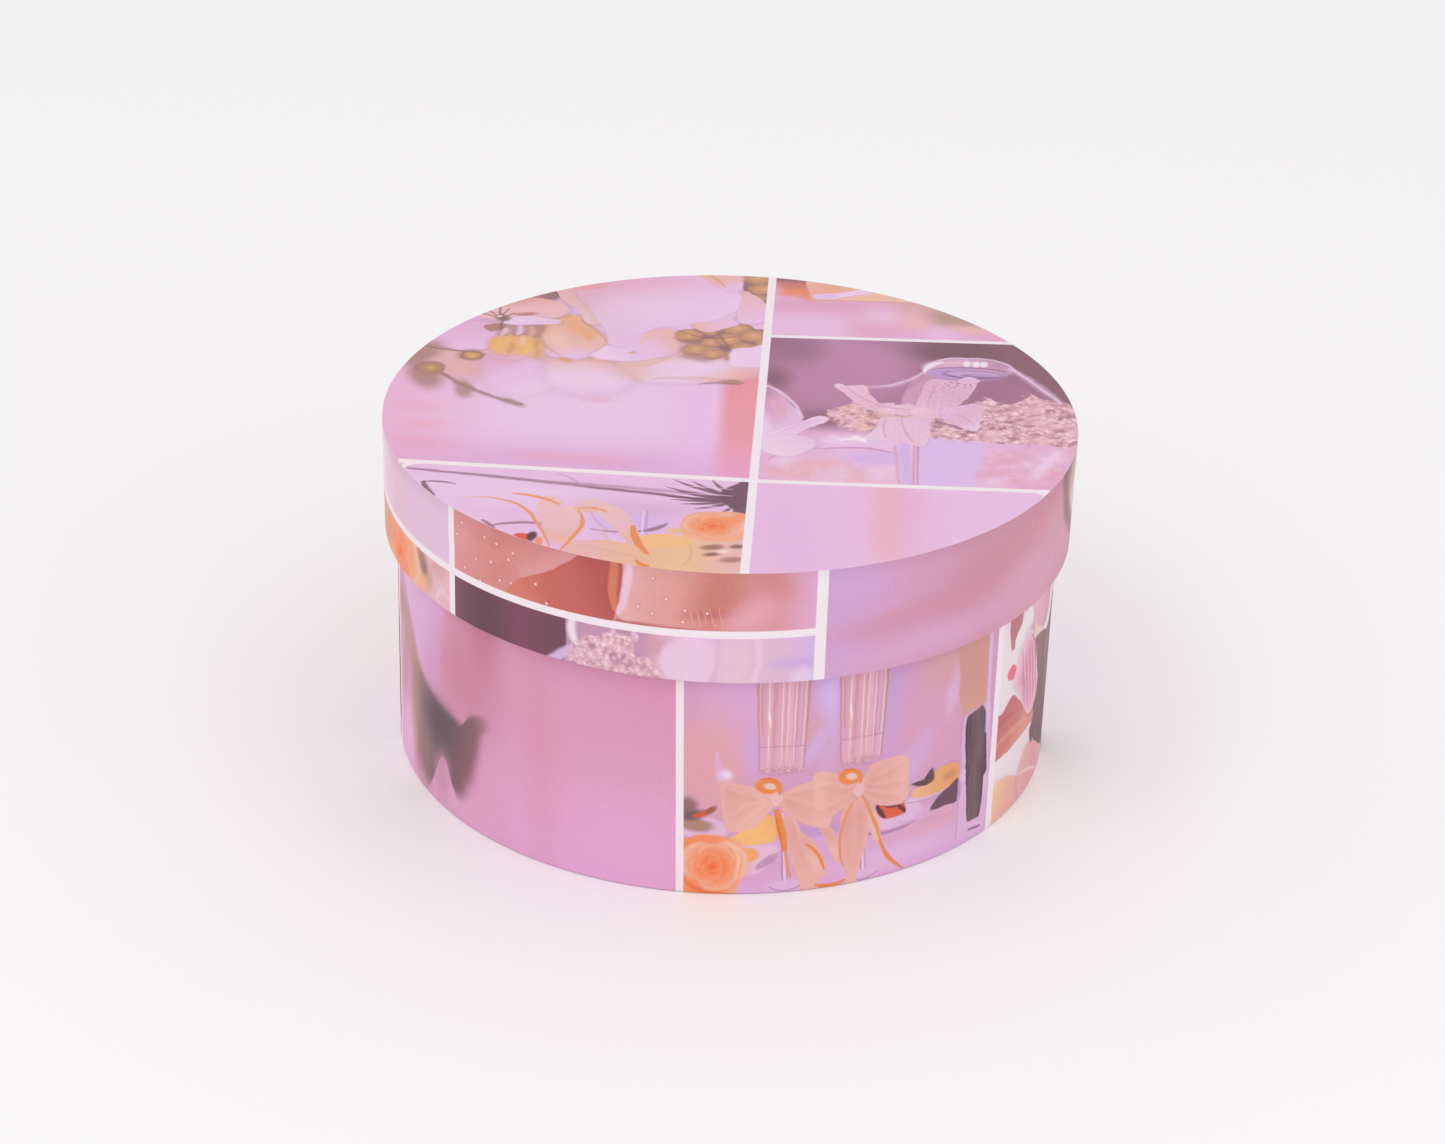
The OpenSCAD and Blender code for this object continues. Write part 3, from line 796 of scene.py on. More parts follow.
def ribbon_loops(p):
    """Broad loops of sheer ribbon."""
    sheer = (232, 186, 196)
    loops = (
        [(-62, -76), (-58, -82), (-58, -98), (-61, -113), (-64, -102), (-67, -88), (-66, -79)],
        [(-57, -84), (-52, -86), (-51, -98), (-55, -110), (-60, -112), (-58, -98)],
        [(-52, -79), (-42, -80), (-42, -86), (-52, -88)],
        [(-46, -84), (-38, -84), (-33, -94), (-31, -106), (-33, -114), (-37, -104), (-43, -94)],
    )
    for loop in loops:
        tones = p.fill(loop[0], loop[3], (236, 190, 188), sheer, (234, 180, 168))
        p.petal(loop, tones, 0.7, 0.12, 0.1)
    p.stroke((214, 152, 158), [(-48, -88), (-44, -98), (-38, -105)], 0.8, 0.5, 0.6, 0.4)
    p.stroke((226, 178, 190), [(-46, -100), (-43, -104), (-41, -110)], 1.6, 0.6, 0.7, 0.4)


def ribbon_curls(p):
    """Narrow orange curls, and the lilac stem beside them."""
    curls = (
        ([(-94, -81), (-90, -79), (-80, -80), (-72, -86), (-67, -96), (-61, -115)], 1.7, (228, 158, 120)),
        ([(-77, -75), (-68, -77), (-59, -83)], 1.9, (230, 156, 112)),
        ([(-54, -86), (-48, -84.6), (-42, -88)], 1.7, (228, 160, 124)),
        ([(-53, -87), (-50.5, -97), (-53, -106), (-57, -117)], 1.8, (232, 150, 104)),
        ([(-33, -97), (-31.5, -107), (-27, -119)], 2.9, (230, 140, 84)),
        ([(-31, -123), (-29, -126), (-26, -127)], 2.0, (230, 140, 84)),
    )
    for points, width, colour in curls:
        p.stroke(colour, points, width, 0.35, 1, 0.5)
    p.stroke(PALE_LILAC, [(-29.5, -85), (-29.5, -104)], 0.7, 0.4, 0.8)
    p.stroke((190, 146, 186), [(-28.2, -85), (-28.2, -104)], 0.6, 0.3, 0.7)
    p.oval(GOLD_LIGHT, -17, -100.5, 4.5, 2.2, -6, 0.4, 0.9)


def cloth_rose(p):
    """An orange rose with crumbs below it."""
    edge = [(-15, -90), (-8, -85), (6, -86), (10, -98), (4, -107), (-12, -106), (-16, -99)]
    p.shape(ORANGE_PALE, edge, 0.8)
    p.rose(-5, -96, 11, ORANGE_DEEP, ORANGE, ORANGE_PALE)
    p.oval(ORANGE, 3, -90, 5, 3, 40, 0.5, 0.7)
    for x, y, r, colour in (
        (-5, -112, 4, (150, 104, 92)), (-5, -117.5, 3, (140, 92, 78)), (3, -114, 3.4, PEACH),
        (2, -121, 4, (168, 120, 108)), (4, -111, 3, (126, 92, 88)), (-1, -115, 2.4, CREAM),
    ):
        p.oval(colour, x, y, r, r * 0.5, 12, 0.5, 0.85)


def table_ground(p):
    """Blurred lights behind a laid table, and its cloth."""
    p.oval(DEEP_LILAC, 6, 84, 12, 26, 0, 0.8, 0.8)
    p.oval((224, 164, 172), -4, 54, 13, 20, 0, 0.6, 0.9)
    p.oval(BLUE_LILAC, 38, 78, 4.5, 22, 0, 0.8)
    p.oval((214, 184, 234), 38.5, 78, 2.6, 12, -6, 0.8, 0.9)
    p.oval((214, 160, 176), 34, 66, 5, 10, 0, 0.8, 0.8)
    p.oval(BLUE_LILAC, 34, 60, 2.4, 8, -24, 0.7, 0.7)
    p.oval((206, 168, 224), 12, 60, 3.4, 8, 4, 0.8, 0.7)
    p.oval((198, 162, 222), 64, 70, 6, 26, 0, 0.8, 0.6)
    p.oval((216, 160, 190), 82, 60, 16, 22, 0, 0.8, 0.8)
    p.oval((226, 190, 226), 91, 70, 3, 9, -10, 0.8, 0.6)
    p.oval((218, 162, 164), 86, 82, 10, 9, 0, 0.7, 0.7)
    p.oval((214, 178, 228), 73, 44, 5, 14, -30, 0.8, 0.6)
    p.oval((240, 214, 240), 2, 50, 2.4, 2.2, 0, 0.7, 0.95)
    p.stroke((220, 180, 232), [(-1, 60), (0, 52), (4, 44)], 2.0, 1.2, 0.6, 0.5)
    tones = p.fill((0, 26), (0, 0), (222, 176, 214), (216, 166, 206), (222, 172, 214))
    p.side(tones, 50, 24, 182, 2)
    p.oval((196, 150, 204), 36, 25, 12, 3, 0, 0.7, 0.8)
    p.oval((226, 168, 186), 88, 16, 18, 4, 4, 0.7, 0.7)
    p.oval((230, 190, 226), 70, 8, 26, 5, 0, 0.8, 0.7)
    p.wobble(1.6, 8)
    tan = [(95, 57), (94, 72), (92.6, 90), (92, 130), (107, 130), (108.4, 90), (111, 57)]
    tones = p.fill((98, 58), (98, 96), (212, 156, 140), (208, 150, 138), (212, 158, 156))
    p.shape(tones, tan, 1.4, 0.9, True)


def flutes(p):
    """Two champagne flutes."""
    p.wobble(0.5, 6)
    flute(p, 22, 9.2)
    flute(p, 51.8, 9.2)


def flute(p, x, half):
    """One flute: a tapering bowl with upright streaks of light, and its stem."""
    bowl = [(x - half - 3, 140), (x + half + 3, 140), (x + half - 1.2, 61.5), (x + half - 1.4, 51),
            (x - half + 1.4, 51), (x - half + 1.2, 61.5)]
    glass = p.in_shape(bowl, 0.35, 0.92, True)
    across = p.slope(x - half - 0.6, 62, x + half + 0.6, 62)
    streaks = p.ramp(
        across, (0.0, (196, 136, 140)), (0.06, (226, 180, 190)), (0.16, (214, 164, 190)),
        (0.27, (226, 180, 196)), (0.33, (206, 150, 168)), (0.43, (226, 172, 186)),
        (0.56, (218, 164, 180)), (0.64, (230, 182, 194)), (0.74, (208, 152, 172)),
        (0.84, (220, 176, 204)), (0.9, (232, 196, 200)), (0.95, (196, 136, 146)),
        (1.0, (222, 184, 214)),
    )
    p.lay(streaks, p.math("MULTIPLY", glass, 0.88))
    border = [(x - half + 1.2, 60.6), (x + half - 1, 60.6), (x + half - 1, 52), (x - half + 1, 52)]
    p.shape((226, 176, 190), border, 0.4, 0.45, True)
    p.stroke((196, 140, 156), [(x - half + 1, 61.6), (x + half - 1, 61.4)], 0.5, 0.25, 0.85)
    for side in (-1, 1):
        edge = [(x + side * (half + 0.1), 88), (x + side * (half - 1.3), 52)]
        p.stroke((194, 136, 140), edge, 0.7, 0.35, 0.8, 0.8)
    crumbs = p.step(p.noise(0.9, 2.0), 0.45, 0.6, 0, 0.8)
    p.lay((190, 140, 150), p.math("MULTIPLY", crumbs, p.in_oval(x, 51.6, 8, 2.0, 0, 0.3)))
    for light in (-5.4, -0.4, 1.8, 4.6):
        p.stroke((244, 214, 216), [(x + light, 96), (x + light * 0.9, 54)], 0.5, 0.3, 0.8, 0.3)
    p.stroke((206, 142, 116), [(x - 8.0, 88), (x - 7.2, 66)], 0.9, 0.5, 0.7, 0.4)
    p.stroke((236, 176, 130), [(x - 5.2, 74), (x - 4.9, 66)], 0.9, 0.5, 0.8, 0.3)
    p.stroke((250, 232, 236), [(x - 5.0, 76), (x - 4.6, 69)], 0.7, 0.4, 0.8, 0.3)
    p.stroke((202, 146, 152), [(x + 7.4, 96), (x + 6.6, 62)], 0.6, 0.3, 0.8, 0.5)
    p.stroke((232, 202, 232), [(x + 0.6, 34), (x + 2.0, 20), (x + 3.0, 4)], 1.8, 0.6, 0.85)
    p.stroke((168, 124, 160), [(x + 0.2, 34), (x + 1.2, 20), (x + 2.0, 5)], 0.5, 0.3, 0.85)
    p.stroke((178, 132, 168), [(x + 1.6, 30), (x + 2.8, 18), (x + 3.8, 5)], 0.5, 0.3, 0.75)
    p.oval((226, 190, 222), x + 3, 3, 6.5, 2.4, 0, 0.4, 0.7)
    p.stroke((170, 128, 166), [(x - 3, 3), (x + 3, 1), (x + 9, 3)], 0.6, 0.3, 0.75)


def plates(p):
    """Plates of food at the back of the table, and their shadows."""
    p.wobble(0.8, 6)
    p.oval((226, 188, 222), 66, 25, 13, 5, -2, 0.12, 0.9)
    p.stroke((170, 122, 160), [(52, 21.5), (64, 18.6), (76, 20)], 1.6, 0.7, 0.85, 0.4)
    p.oval((232, 196, 228), 90, 30, 20, 2.6, 4, 0.2, 0.9)
    p.stroke((190, 142, 176), [(70, 29), (84, 27.4), (98, 29)], 0.8, 0.4, 0.8, 0.5)
    p.stroke((206, 160, 196), [(68, 22), (78, 19), (98, 17)], 1.4, 0.8, 0.6, 0.5)
    p.petal([(59, 31), (64, 32), (70, 30), (71, 25), (62, 25)], (224, 96, 72), 0.5, 0.2)
    p.stroke((84, 60, 64), [(59, 31), (61, 27.6), (63, 25)], 2.0, 0.5, 0.95, 0.5)
    p.stroke((84, 60, 64), [(61, 31), (66, 29.6), (71, 30)], 2.2, 0.5, 0.95, 0.6)
    p.stroke((84, 60, 64), [(68, 29), (70, 27), (71.5, 25)], 1.8, 0.5, 0.9, 0.5)
    food = [(74, 33), (80, 35), (86, 38.6), (95, 38), (97, 31), (88, 28.5), (76, 29.5)]
    tones = p.fill((76, 30), (96, 37), (238, 180, 140), (228, 168, 120), (240, 160, 104))
    p.petal(food, tones, 0.7, 0.2)
    p.oval((188, 128, 110), 92, 34, 3.4, 2.2, 0, 0.5, 0.5)
    edge = [(73, 37), (79, 36.6), (83, 40), (84, 35), (80, 33.6), (75, 35)]
    p.shape((96, 66, 76), edge, 0.6, 0.95)
    edge = [(83, 22), (87, 27), (92, 29), (97, 30.6), (98, 21.6), (90, 21.4)]
    p.shape((104, 72, 86), edge, 0.6, 0.95)
    p.oval((226, 186, 218), -6, 28, 10, 4.6, -4, 0.15, 0.95)
    p.oval((172, 132, 112), -8, 29, 6.6, 2.6, -4, 0.35, 0.95)
    p.oval((112, 82, 74), -9, 33, 5, 2.2, 14, 0.45, 0.9)
    p.oval((122, 92, 84), -11, 37, 3.4, 3.4, 10, 0.5, 0.8)
    p.stroke((214, 96, 62), [(-9, 32.6), (-5, 34), (-2, 36.6)], 2.4, 0.5, 0.95, 0.4)
    p.oval((150, 96, 72), -2.6, 35.6, 2.4, 1.2, 40, 0.4, 0.9)
    p.oval((234, 176, 124), 4, 40, 3.2, 7, 10, 0.5, 0.85)
    p.shape((232, 190, 214), [(4, 20), (20, 20.5), (21, 16), (15, 9), (6, 9)], 0.8, 0.9)
    p.shape((164, 118, 164), [(14, 12), (18, 16), (22, 17), (20, 13.4), (15, 10.6)], 0.9, 0.6)
    cloth = [(4, 22), (9, 28), (15, 33), (21, 32), (21, 23), (12, 21)]
    tones = p.fill((4, 22), (20, 32), (244, 184, 118), (246, 190, 122), (238, 178, 120))
    p.petal(cloth, tones, 0.5, 0.2, 0.1)


def table_bows(p):
    """Sheer peach bows on the stems."""
    p.wobble(1.0, 5)
    sheer = (228, 170, 162)
    light = (236, 186, 176)
    deep = (220, 156, 150)
    pieces = (
        [(24, 34), (29, 28), (33, 14), (38, 3), (33, -1), (28, 10), (25, 22)],
        [(29, 25), (35, 21), (40, 10), (39, 4), (34, 11), (31, 18)],
        [(37, 27), (41, 26), (44, 20), (46, 10), (42, 14), (39, 22)],
        [(46, 34), (54, 35), (56, 20), (53, 6), (50, -3), (47, 8), (45, 20)],
        [(56, 34), (60, 26), (62, 14), (58, 18), (55.5, 28)],
        [(1, 46.6), (10, 46), (17, 44), (21, 40), (17, 33), (12, 28), (5, 26.6), (2.4, 30), (1, 38)],
        [(21, 40), (26, 44), (32, 46), (40, 46), (41.6, 36), (41, 27), (36, 26.4), (29, 30), (24, 34)],
        [(51.5, 40), (47, 46), (40, 49), (34.6, 49), (34, 40), (36, 31), (43, 31), (48, 36)],
        [(52, 40), (54, 46), (58, 49.4), (70.4, 49.4), (72.4, 40), (71.6, 30.4), (63, 30), (56, 34)],
    )
    for points in pieces:
        ends = p.fill(points[0], points[4], deep, sheer, light)
        p.petal(points, ends, 0.45, 0.14, 0.08, rim=(232, 178, 170))
    folds = (
        [(20, 40), (11, 40.6), (3, 43)], [(19, 39), (11, 36), (5, 32)], [(19, 38), (13, 33), (9, 28.6)],
        [(23, 41), (31, 41.6), (40, 43)], [(23, 39), (31, 36), (39, 31)], [(50, 40), (44, 40.6), (36, 44)],
        [(50, 39), (44, 35), (37, 33)], [(53, 41), (61, 43), (70, 46)], [(53, 40), (62, 38.6), (71, 38)],
        [(54, 38), (61, 34.6), (69, 32)], [(50, 33), (50.6, 18), (50.4, 4)], [(27, 30), (31, 18), (35, 4)],
    )
    for crease in folds:
        p.stroke((218, 154, 148), crease, 1.8, 1.2, 0.24, 0.3)
        p.stroke((242, 200, 188), [(x, y + 1.8) for x, y in crease], 1.8, 1.2, 0.2, 0.3)
    for x, y in ((20.6, 40), (51.6, 39.6)):
        edge = [(x - 2.4, y), (x, y + 3.4), (x + 2.4, y), (x, y - 3.4)]
        p.petal(edge, (236, 186, 186), 0.5, 0.25)


def narrow_ribbons(p):
    """Narrow orange ribbons tied in with the bows."""
    p.wobble(0.8, 6)
    orange = (232, 138, 78)
    pale = (228, 150, 104)
    for x, y in ((17.4, 45.6), (47.6, 46)):
        p.oval(orange, x, y, 4.6, 3.4, -14, 0.12)
        p.oval((236, 196, 190), x + 0.8, y - 0.2, 2.4, 1.3, -14, 0.3, 0.9)
        p.stroke(orange, [(x, y + 2.4), (x + 3.4, y + 0.6), (x + 4.4, y - 4)], 2.0, 0.4, 1, 0.6)
        path = [(x - 3, y + 2.4), (x + 1, y + 2.8), (x + 3.6, y + 0.6)]
        p.stroke((212, 110, 56), path, 0.7, 0.4, 0.6, 0.3)
    curls = (
        ([(20.6, 36), (22.6, 28), (24.6, 17)], 3.0, orange),
        ([(24.6, 18), (25.4, 12), (27, 6)], 1.4, pale),
        ([(51, 36.6), (46.6, 28), (45, 18), (47, 8)], 1.3, pale),
        ([(53, 37), (57.6, 27), (61, 17)], 1.7, pale),
        ([(61, 17), (65, 8), (72, 1)], 1.7, orange),
        ([(31.6, 20), (36, 16), (39.4, 8)], 1.4, orange),
        ([(36, 2), (42, 0.8), (48, 2.6)], 1.9, orange),
    )
    for points, width, colour in curls:
        p.stroke(colour, points, width, 0.35, 1, 0.5)
    p.stroke((208, 100, 48), [(20, 35), (21.8, 28), (23.6, 18)], 0.8, 0.4, 0.6, 0.3)


def table_rose(p):
    """The orange rose at the corner of the table."""
    p.wobble(1.2, 6)
    p.petal([(7, 19), (13, 19.6), (14.6, 16), (9, 12.6), (6, 14)], (246, 168, 104), 0.5, 0.2)
    body = [(-14, 0), (-15, 18), (-8, 25), (2, 24.6), (9, 20), (9, 9), (4, -3)]
    p.shape(p.fill((-12, 12), (9, 12), ORANGE, ORANGE, ORANGE_PALE), body, 0.8)
    p.rose(-1.6, 12, 12, ORANGE_DEEP, (244, 140, 92), ORANGE_PALE, 10)
    p.stroke((250, 196, 160), [(3, 23), (7.4, 16), (6.6, 6)], 1.2, 0.6, 0.7, 0.4)
    p.stroke((226, 104, 60), [(-12, 6), (-6, 1.6), (2, 1)], 1.4, 0.8, 0.6, 0.4)


def dark_vase(p):
    """The tall dark vase at the edge of the table."""
    p.wobble(0.5, 5)
    glass = [(96.6, 2), (97, 56), (100, 57), (113, 57), (114.5, 26), (114.5, 2)]
    p.shape((226, 190, 224), glass, 0.6, 0.55, True)
    vase = [(98.2, 55.6), (109.8, 57.4), (113.2, 27), (111.4, 25), (111.4, 8.2), (103, 9)]
    mask = p.in_shape(vase, 0.45, 1, True)
    p.lay(p.fill((99, 30), (113, 30), (88, 66, 74), (116, 90, 98), (90, 68, 74)), mask)
    grain = p.step(p.noise(1.4, 2.0, (0.5, 12)), 0.45, 0.7, 0, 0.45)
    p.lay((142, 116, 126), p.math("MULTIPLY", grain, mask))
    p.stroke((128, 88, 112), [(104, 5), (111.6, 4)], 1.0, 0.4, 0.85)
    p.stroke((198, 152, 192), [(97.4, 4), (96.8, 56)], 0.8, 0.4, 0.8)
    p.stroke((224, 188, 226), [(111.6, 44), (110.4, 92)], 2.0, 0.8, 0.85)


def dark_leaf(p):
    """A big out-of-focus dark leaf on mauve cloth with upright folds."""
    p.wobble(3, 24)
    tones = p.fill((-20, 90), (-60, 0), (218, 150, 182), (218, 156, 186), (226, 166, 208))
    p.side(tones, -90, 0, -90, 20)
    p.oval((218, 146, 168), -68, 50, 7, 50, 3, 0.9, 0.55)
    p.oval((230, 170, 214), -32, 14, 30, 26, 0, 0.9, 0.8)
    p.oval((226, 168, 204), -106, 6, 20, 8, 0, 0.9, 0.8)
    p.oval((204, 134, 158), -104, 66, 18, 26, 0, 0.8, 0.85)
    p.oval((196, 120, 142), -95, 84, 7, 14, 0, 0.8, 0.6)
    p.oval((234, 184, 216), -160, 12, 16, 18, 0, 0.7, 0.9)
    p.oval((224, 172, 196), -168, 44, 8, 16, 0, 0.8, 0.8)
    p.oval((190, 142, 166), -160, 40, 4, 16, -10, 0.9, 0.6)
    p.stroke((190, 152, 146), [(-172, 68), (-156, 62), (-145, 46)], 15, 6, 0.9, 0.7)
    p.oval((172, 136, 128), -141, 32, 8, 22, 4, 0.7, 0.9)
    shoulder = [(-162, 96), (-158, 80), (-148, 66), (-140, 54), (-128, 49), (-122, 60), (-122, 96)]
    tones = p.fill((-158, 84), (-120, 66), (226, 188, 224), (222, 176, 216), (212, 156, 196))
    p.shape(tones, shoulder, 3.2)
    leaf = [
        (-146, 49), (-132, 47), (-118, 43.6), (-107, 42), (-95, 49), (-97, 40), (-102, 26),
        (-108, 11), (-113, 14), (-120, 22), (-126, 16), (-132, 4), (-138, 8), (-143, 24),
    ]
    across = p.fill(
        (-148, 30), (-96, 30), (176, 142, 132), (146, 118, 116), (116, 94, 102), (120, 90, 98),
        (148, 104, 116),
    )
    p.shape(across, leaf, 4.6, 0.8)
    p.shape(across, [(x * 0.93 - 8.2, y * 0.93 + 2.4) for x, y in leaf], 3.4, 0.85)
    p.oval((206, 146, 172), -121, 14, 5, 9, 0, 0.9, 0.8)
    p.oval((100, 80, 90), -124, 35, 11, 10, 4, 0.8, 0.85)
    p.oval((140, 96, 104), -105, 26, 5, 12, -16, 0.8, 0.6)
    p.oval((160, 112, 124), -140, 14, 4, 8, -20, 0.9, 0.5)
    p.oval((128, 98, 96), -104, 40, 2.4, 7, -12, 0.8, 0.5)


def lilies(p):
    """Pink and cream petals on white, beside a dark ground."""
    p.wobble(1.2, 7)
    lily_ground(p)
    low_petals(p)
    high_petals(p)
    striped_petal(p)


def lily_ground(p):
    """The dark ground at the right, with blurred spots in it."""
    dark = [
        (147, 66), (156, 66), (170, 64), (190, 90), (204, 60), (200, -10), (172, 6), (160, 15),
        (152, 24), (151, 36), (155, 46), (151, 56),
    ]
    tones = p.fill((150, 50), (185, 30), (146, 116, 120), (128, 100, 108), (112, 88, 94))
    p.shape(tones, dark, 1.0)
    for x, y, r, colour in (
        (172, 40, 7, (166, 128, 116)), (180, 58, 9, (150, 122, 108)), (186, 30, 8, (176, 124, 136)),
        (166, 24, 5, (134, 96, 104)), (190, 74, 10, (196, 150, 176)), (176, 14, 7, (160, 118, 112)),
        (168, 54, 4, (178, 142, 128)), (192, 10, 9, (206, 154, 166)),
    ):
        p.oval(colour, x, y, r * 0.6, r * 1.5, -24, 0.9, 0.7)


def low_petals(p):
    """A red wedge, a white patch and two peach petals at the foot."""
    wedge = [
        (114, 46), (122, 47.4), (129, 51.6), (136, 46), (146, 38), (153, 33), (148, 30), (134, 29),
        (114, 27),
    ]
    tones = p.fill((120, 48), (136, 28), (196, 112, 116), (206, 124, 122), (222, 150, 142))
    p.petal(wedge, tones, 0.6, 0.15, 0.08)
    p.stroke((190, 102, 108), [(116, 42), (126, 44), (134, 42)], 2.0, 1.2, 0.6, 0.4)
    p.stroke((228, 160, 150), [(118, 34), (130, 36), (146, 34)], 2.6, 1.4, 0.6, 0.4)
    edge = [(116, 26.4), (132, 28), (148, 29), (151, 22), (140, 12), (116, 14)]
    p.shape(p.fill((120, 26), (146, 20), (238, 226, 230), (232, 214, 222)), edge, 0.7)
    edge = [(118, 14), (124, 18), (134, 14.6), (144, 8), (152, 0), (150, -10), (116, -10)]
    tones = p.fill((118, 14), (146, 0), (240, 196, 160), (232, 176, 166), (226, 168, 176))
    p.petal(edge, tones, 0.9, 0.15)
    edge = [(139, 12), (147, 21), (157, 18), (167, 11), (178, 4), (178, -10), (148, -8)]
    tones = p.fill((142, 12), (172, 2), (230, 172, 172), (224, 164, 168), (228, 174, 178))
    p.petal(edge, tones, 0.8, 0.2)
    p.stroke((246, 214, 208), [(140, 12), (150, 9), (164, 2)], 1.4, 0.8, 0.7, 0.4)
    p.shape((120, 88, 94), [(149, 27), (153, 28), (155, 21), (151, 20)], 0.6, 0.95)


def high_petals(p):
    """The petals at the top, up to the lower edge of the lid's rim."""
    p.shape((188, 108, 112), [(124, 90), (133, 90), (132, 80), (127, 72), (124, 76)], 0.7, 0.9)
    tones = p.fill((138, 84), (162, 72), (232, 190, 208), (226, 174, 196), (218, 160, 184))
    p.petal([(136, 92), (166, 92), (166, 70), (154, 67), (146, 71), (139, 78)], tones, 0.8, 0.15)
    edge = [(127.6, 75), (132, 80), (139, 85), (144, 78), (137, 72), (130, 70.6)]
    p.petal(edge, (236, 226, 230), 0.6, 0.2)
    p.stroke((232, 208, 196), [(146, 73), (150, 69), (156, 67)], 3.4, 1.0, 0.9, 0.5)


def striped_petal(p):
    """The big rosy petal with fine stripes along it, and the red spot beside it."""
    edge = [
        (129.6, 56), (133, 67), (139.6, 74.6), (146, 70), (150, 60), (153.4, 50), (154, 39),
        (148, 35), (141.6, 39), (135, 49),
    ]
    tones = p.fill((131, 62), (152, 50), (234, 178, 200), (216, 148, 178), (224, 160, 188))
    p.petal(edge, tones, 0.6, 0.3, rim=(238, 196, 212))
    for i in range(5):
        x = 135 + 3.4 * i
        path = [(x, 69 - i), (x + 2.4, 56 - i), (x + 6, 41 - i)]
        p.stroke((204, 124, 156), path, 0.9, 0.5, 0.7, 0.3)
        path = [(x + 1.4, 68 - i), (x + 4, 56 - i), (x + 7, 43 - i)]
        p.stroke((242, 200, 216), path, 0.8, 0.5, 0.6, 0.3)
    p.stroke((176, 96, 128), [(143, 71), (148, 64), (150, 56)], 1.2, 0.6, 0.7, 0.4)
    p.shape((230, 116, 136), [(123.6, 62.6), (127, 65.6), (130, 63), (128.6, 59), (125, 60)], 0.5)


def pearl_cloth(p):
    """Rosy cloth dotted with pearls, with a folded terracotta cone."""
    p.lay((208, 128, 126), p.step(p.noise(9, 3.0), 0.4, 0.7, 0, 0.6))
    p.oval((228, 158, 166), -108, 124, 10, 20, 0, 0.9, 0.6)
    p.stroke((222, 156, 158), [(-76, 119), (-62, 127), (-54, 134)], 8, 4, 0.8, 0.6)
    p.wobble(1.0, 7)
    right = [(-34, 140), (-40, 112), (-20, 109), (36, 106), (36, 140)]
    cloth = p.fill(
        (-38, 122), (34, 122), (228, 172, 172), (222, 158, 154), (212, 136, 126), (218, 150, 160),
        (224, 170, 204),
    )
    p.shape(cloth, right, 0.6, 1, True)
    p.oval((200, 122, 112), -2, 124, 9, 7, 30, 0.8, 0.7)
    p.oval((190, 104, 104), -4, 117, 10, 1.6, 6, 0.8, 0.6)
    p.oval((232, 172, 184), 8, 116, 9, 5, 30, 0.8, 0.7)
    p.oval((206, 128, 122), 16, 130, 10, 4, -30, 0.8, 0.5)
    p.stroke((184, 92, 96), [(-38, 111), (-24, 110.6), (-2, 109.8)], 1.6, 0.7, 0.8, 0.5)
    for x in (-12, -9.6, -7.4, -5, -2):
        p.stroke((236, 186, 180), [(x, 121 + x / 4), (x + 1.6, 112)], 0.4, 0.2, 0.5, 0.3)
    cone = [(-84, 109), (-76, 117.6), (-62, 125), (-48, 137), (-36, 138), (-36, 120), (-40, 108)]
    tones = p.fill((-80, 112), (-40, 126), (214, 124, 108), (198, 104, 96), (184, 90, 86))
    p.shape(tones, cone, 0.5, 1, True)
    p.stroke((214, 124, 100), [(-38, 138), (-39.4, 124), (-38.6, 114)], 3.4, 0.7, 0.95, 0.6)
    p.stroke((176, 86, 82), [(-41.4, 138), (-41.6, 124), (-40, 113)], 0.9, 0.5, 0.8)
    p.stroke((236, 196, 214), [(-33.6, 138), (-34.4, 124), (-37.4, 113)], 3.2, 0.8, 0.95, 0.7)
    pearl = p.cells(9.0, randomness=0.85)
    field = p.math("MAXIMUM", p.in_side(-66, 124, 132, 1.0), p.in_oval(-16, 121, 19, 10, 0, 0.2))
    p.lay((192, 108, 110), p.math("MULTIPLY", p.step(pearl, 0.07, 0.15, 0.45, 0), field))
    p.lay((248, 206, 206), p.math("MULTIPLY", p.step(pearl, 0.03, 0.09, 0.95, 0), field))


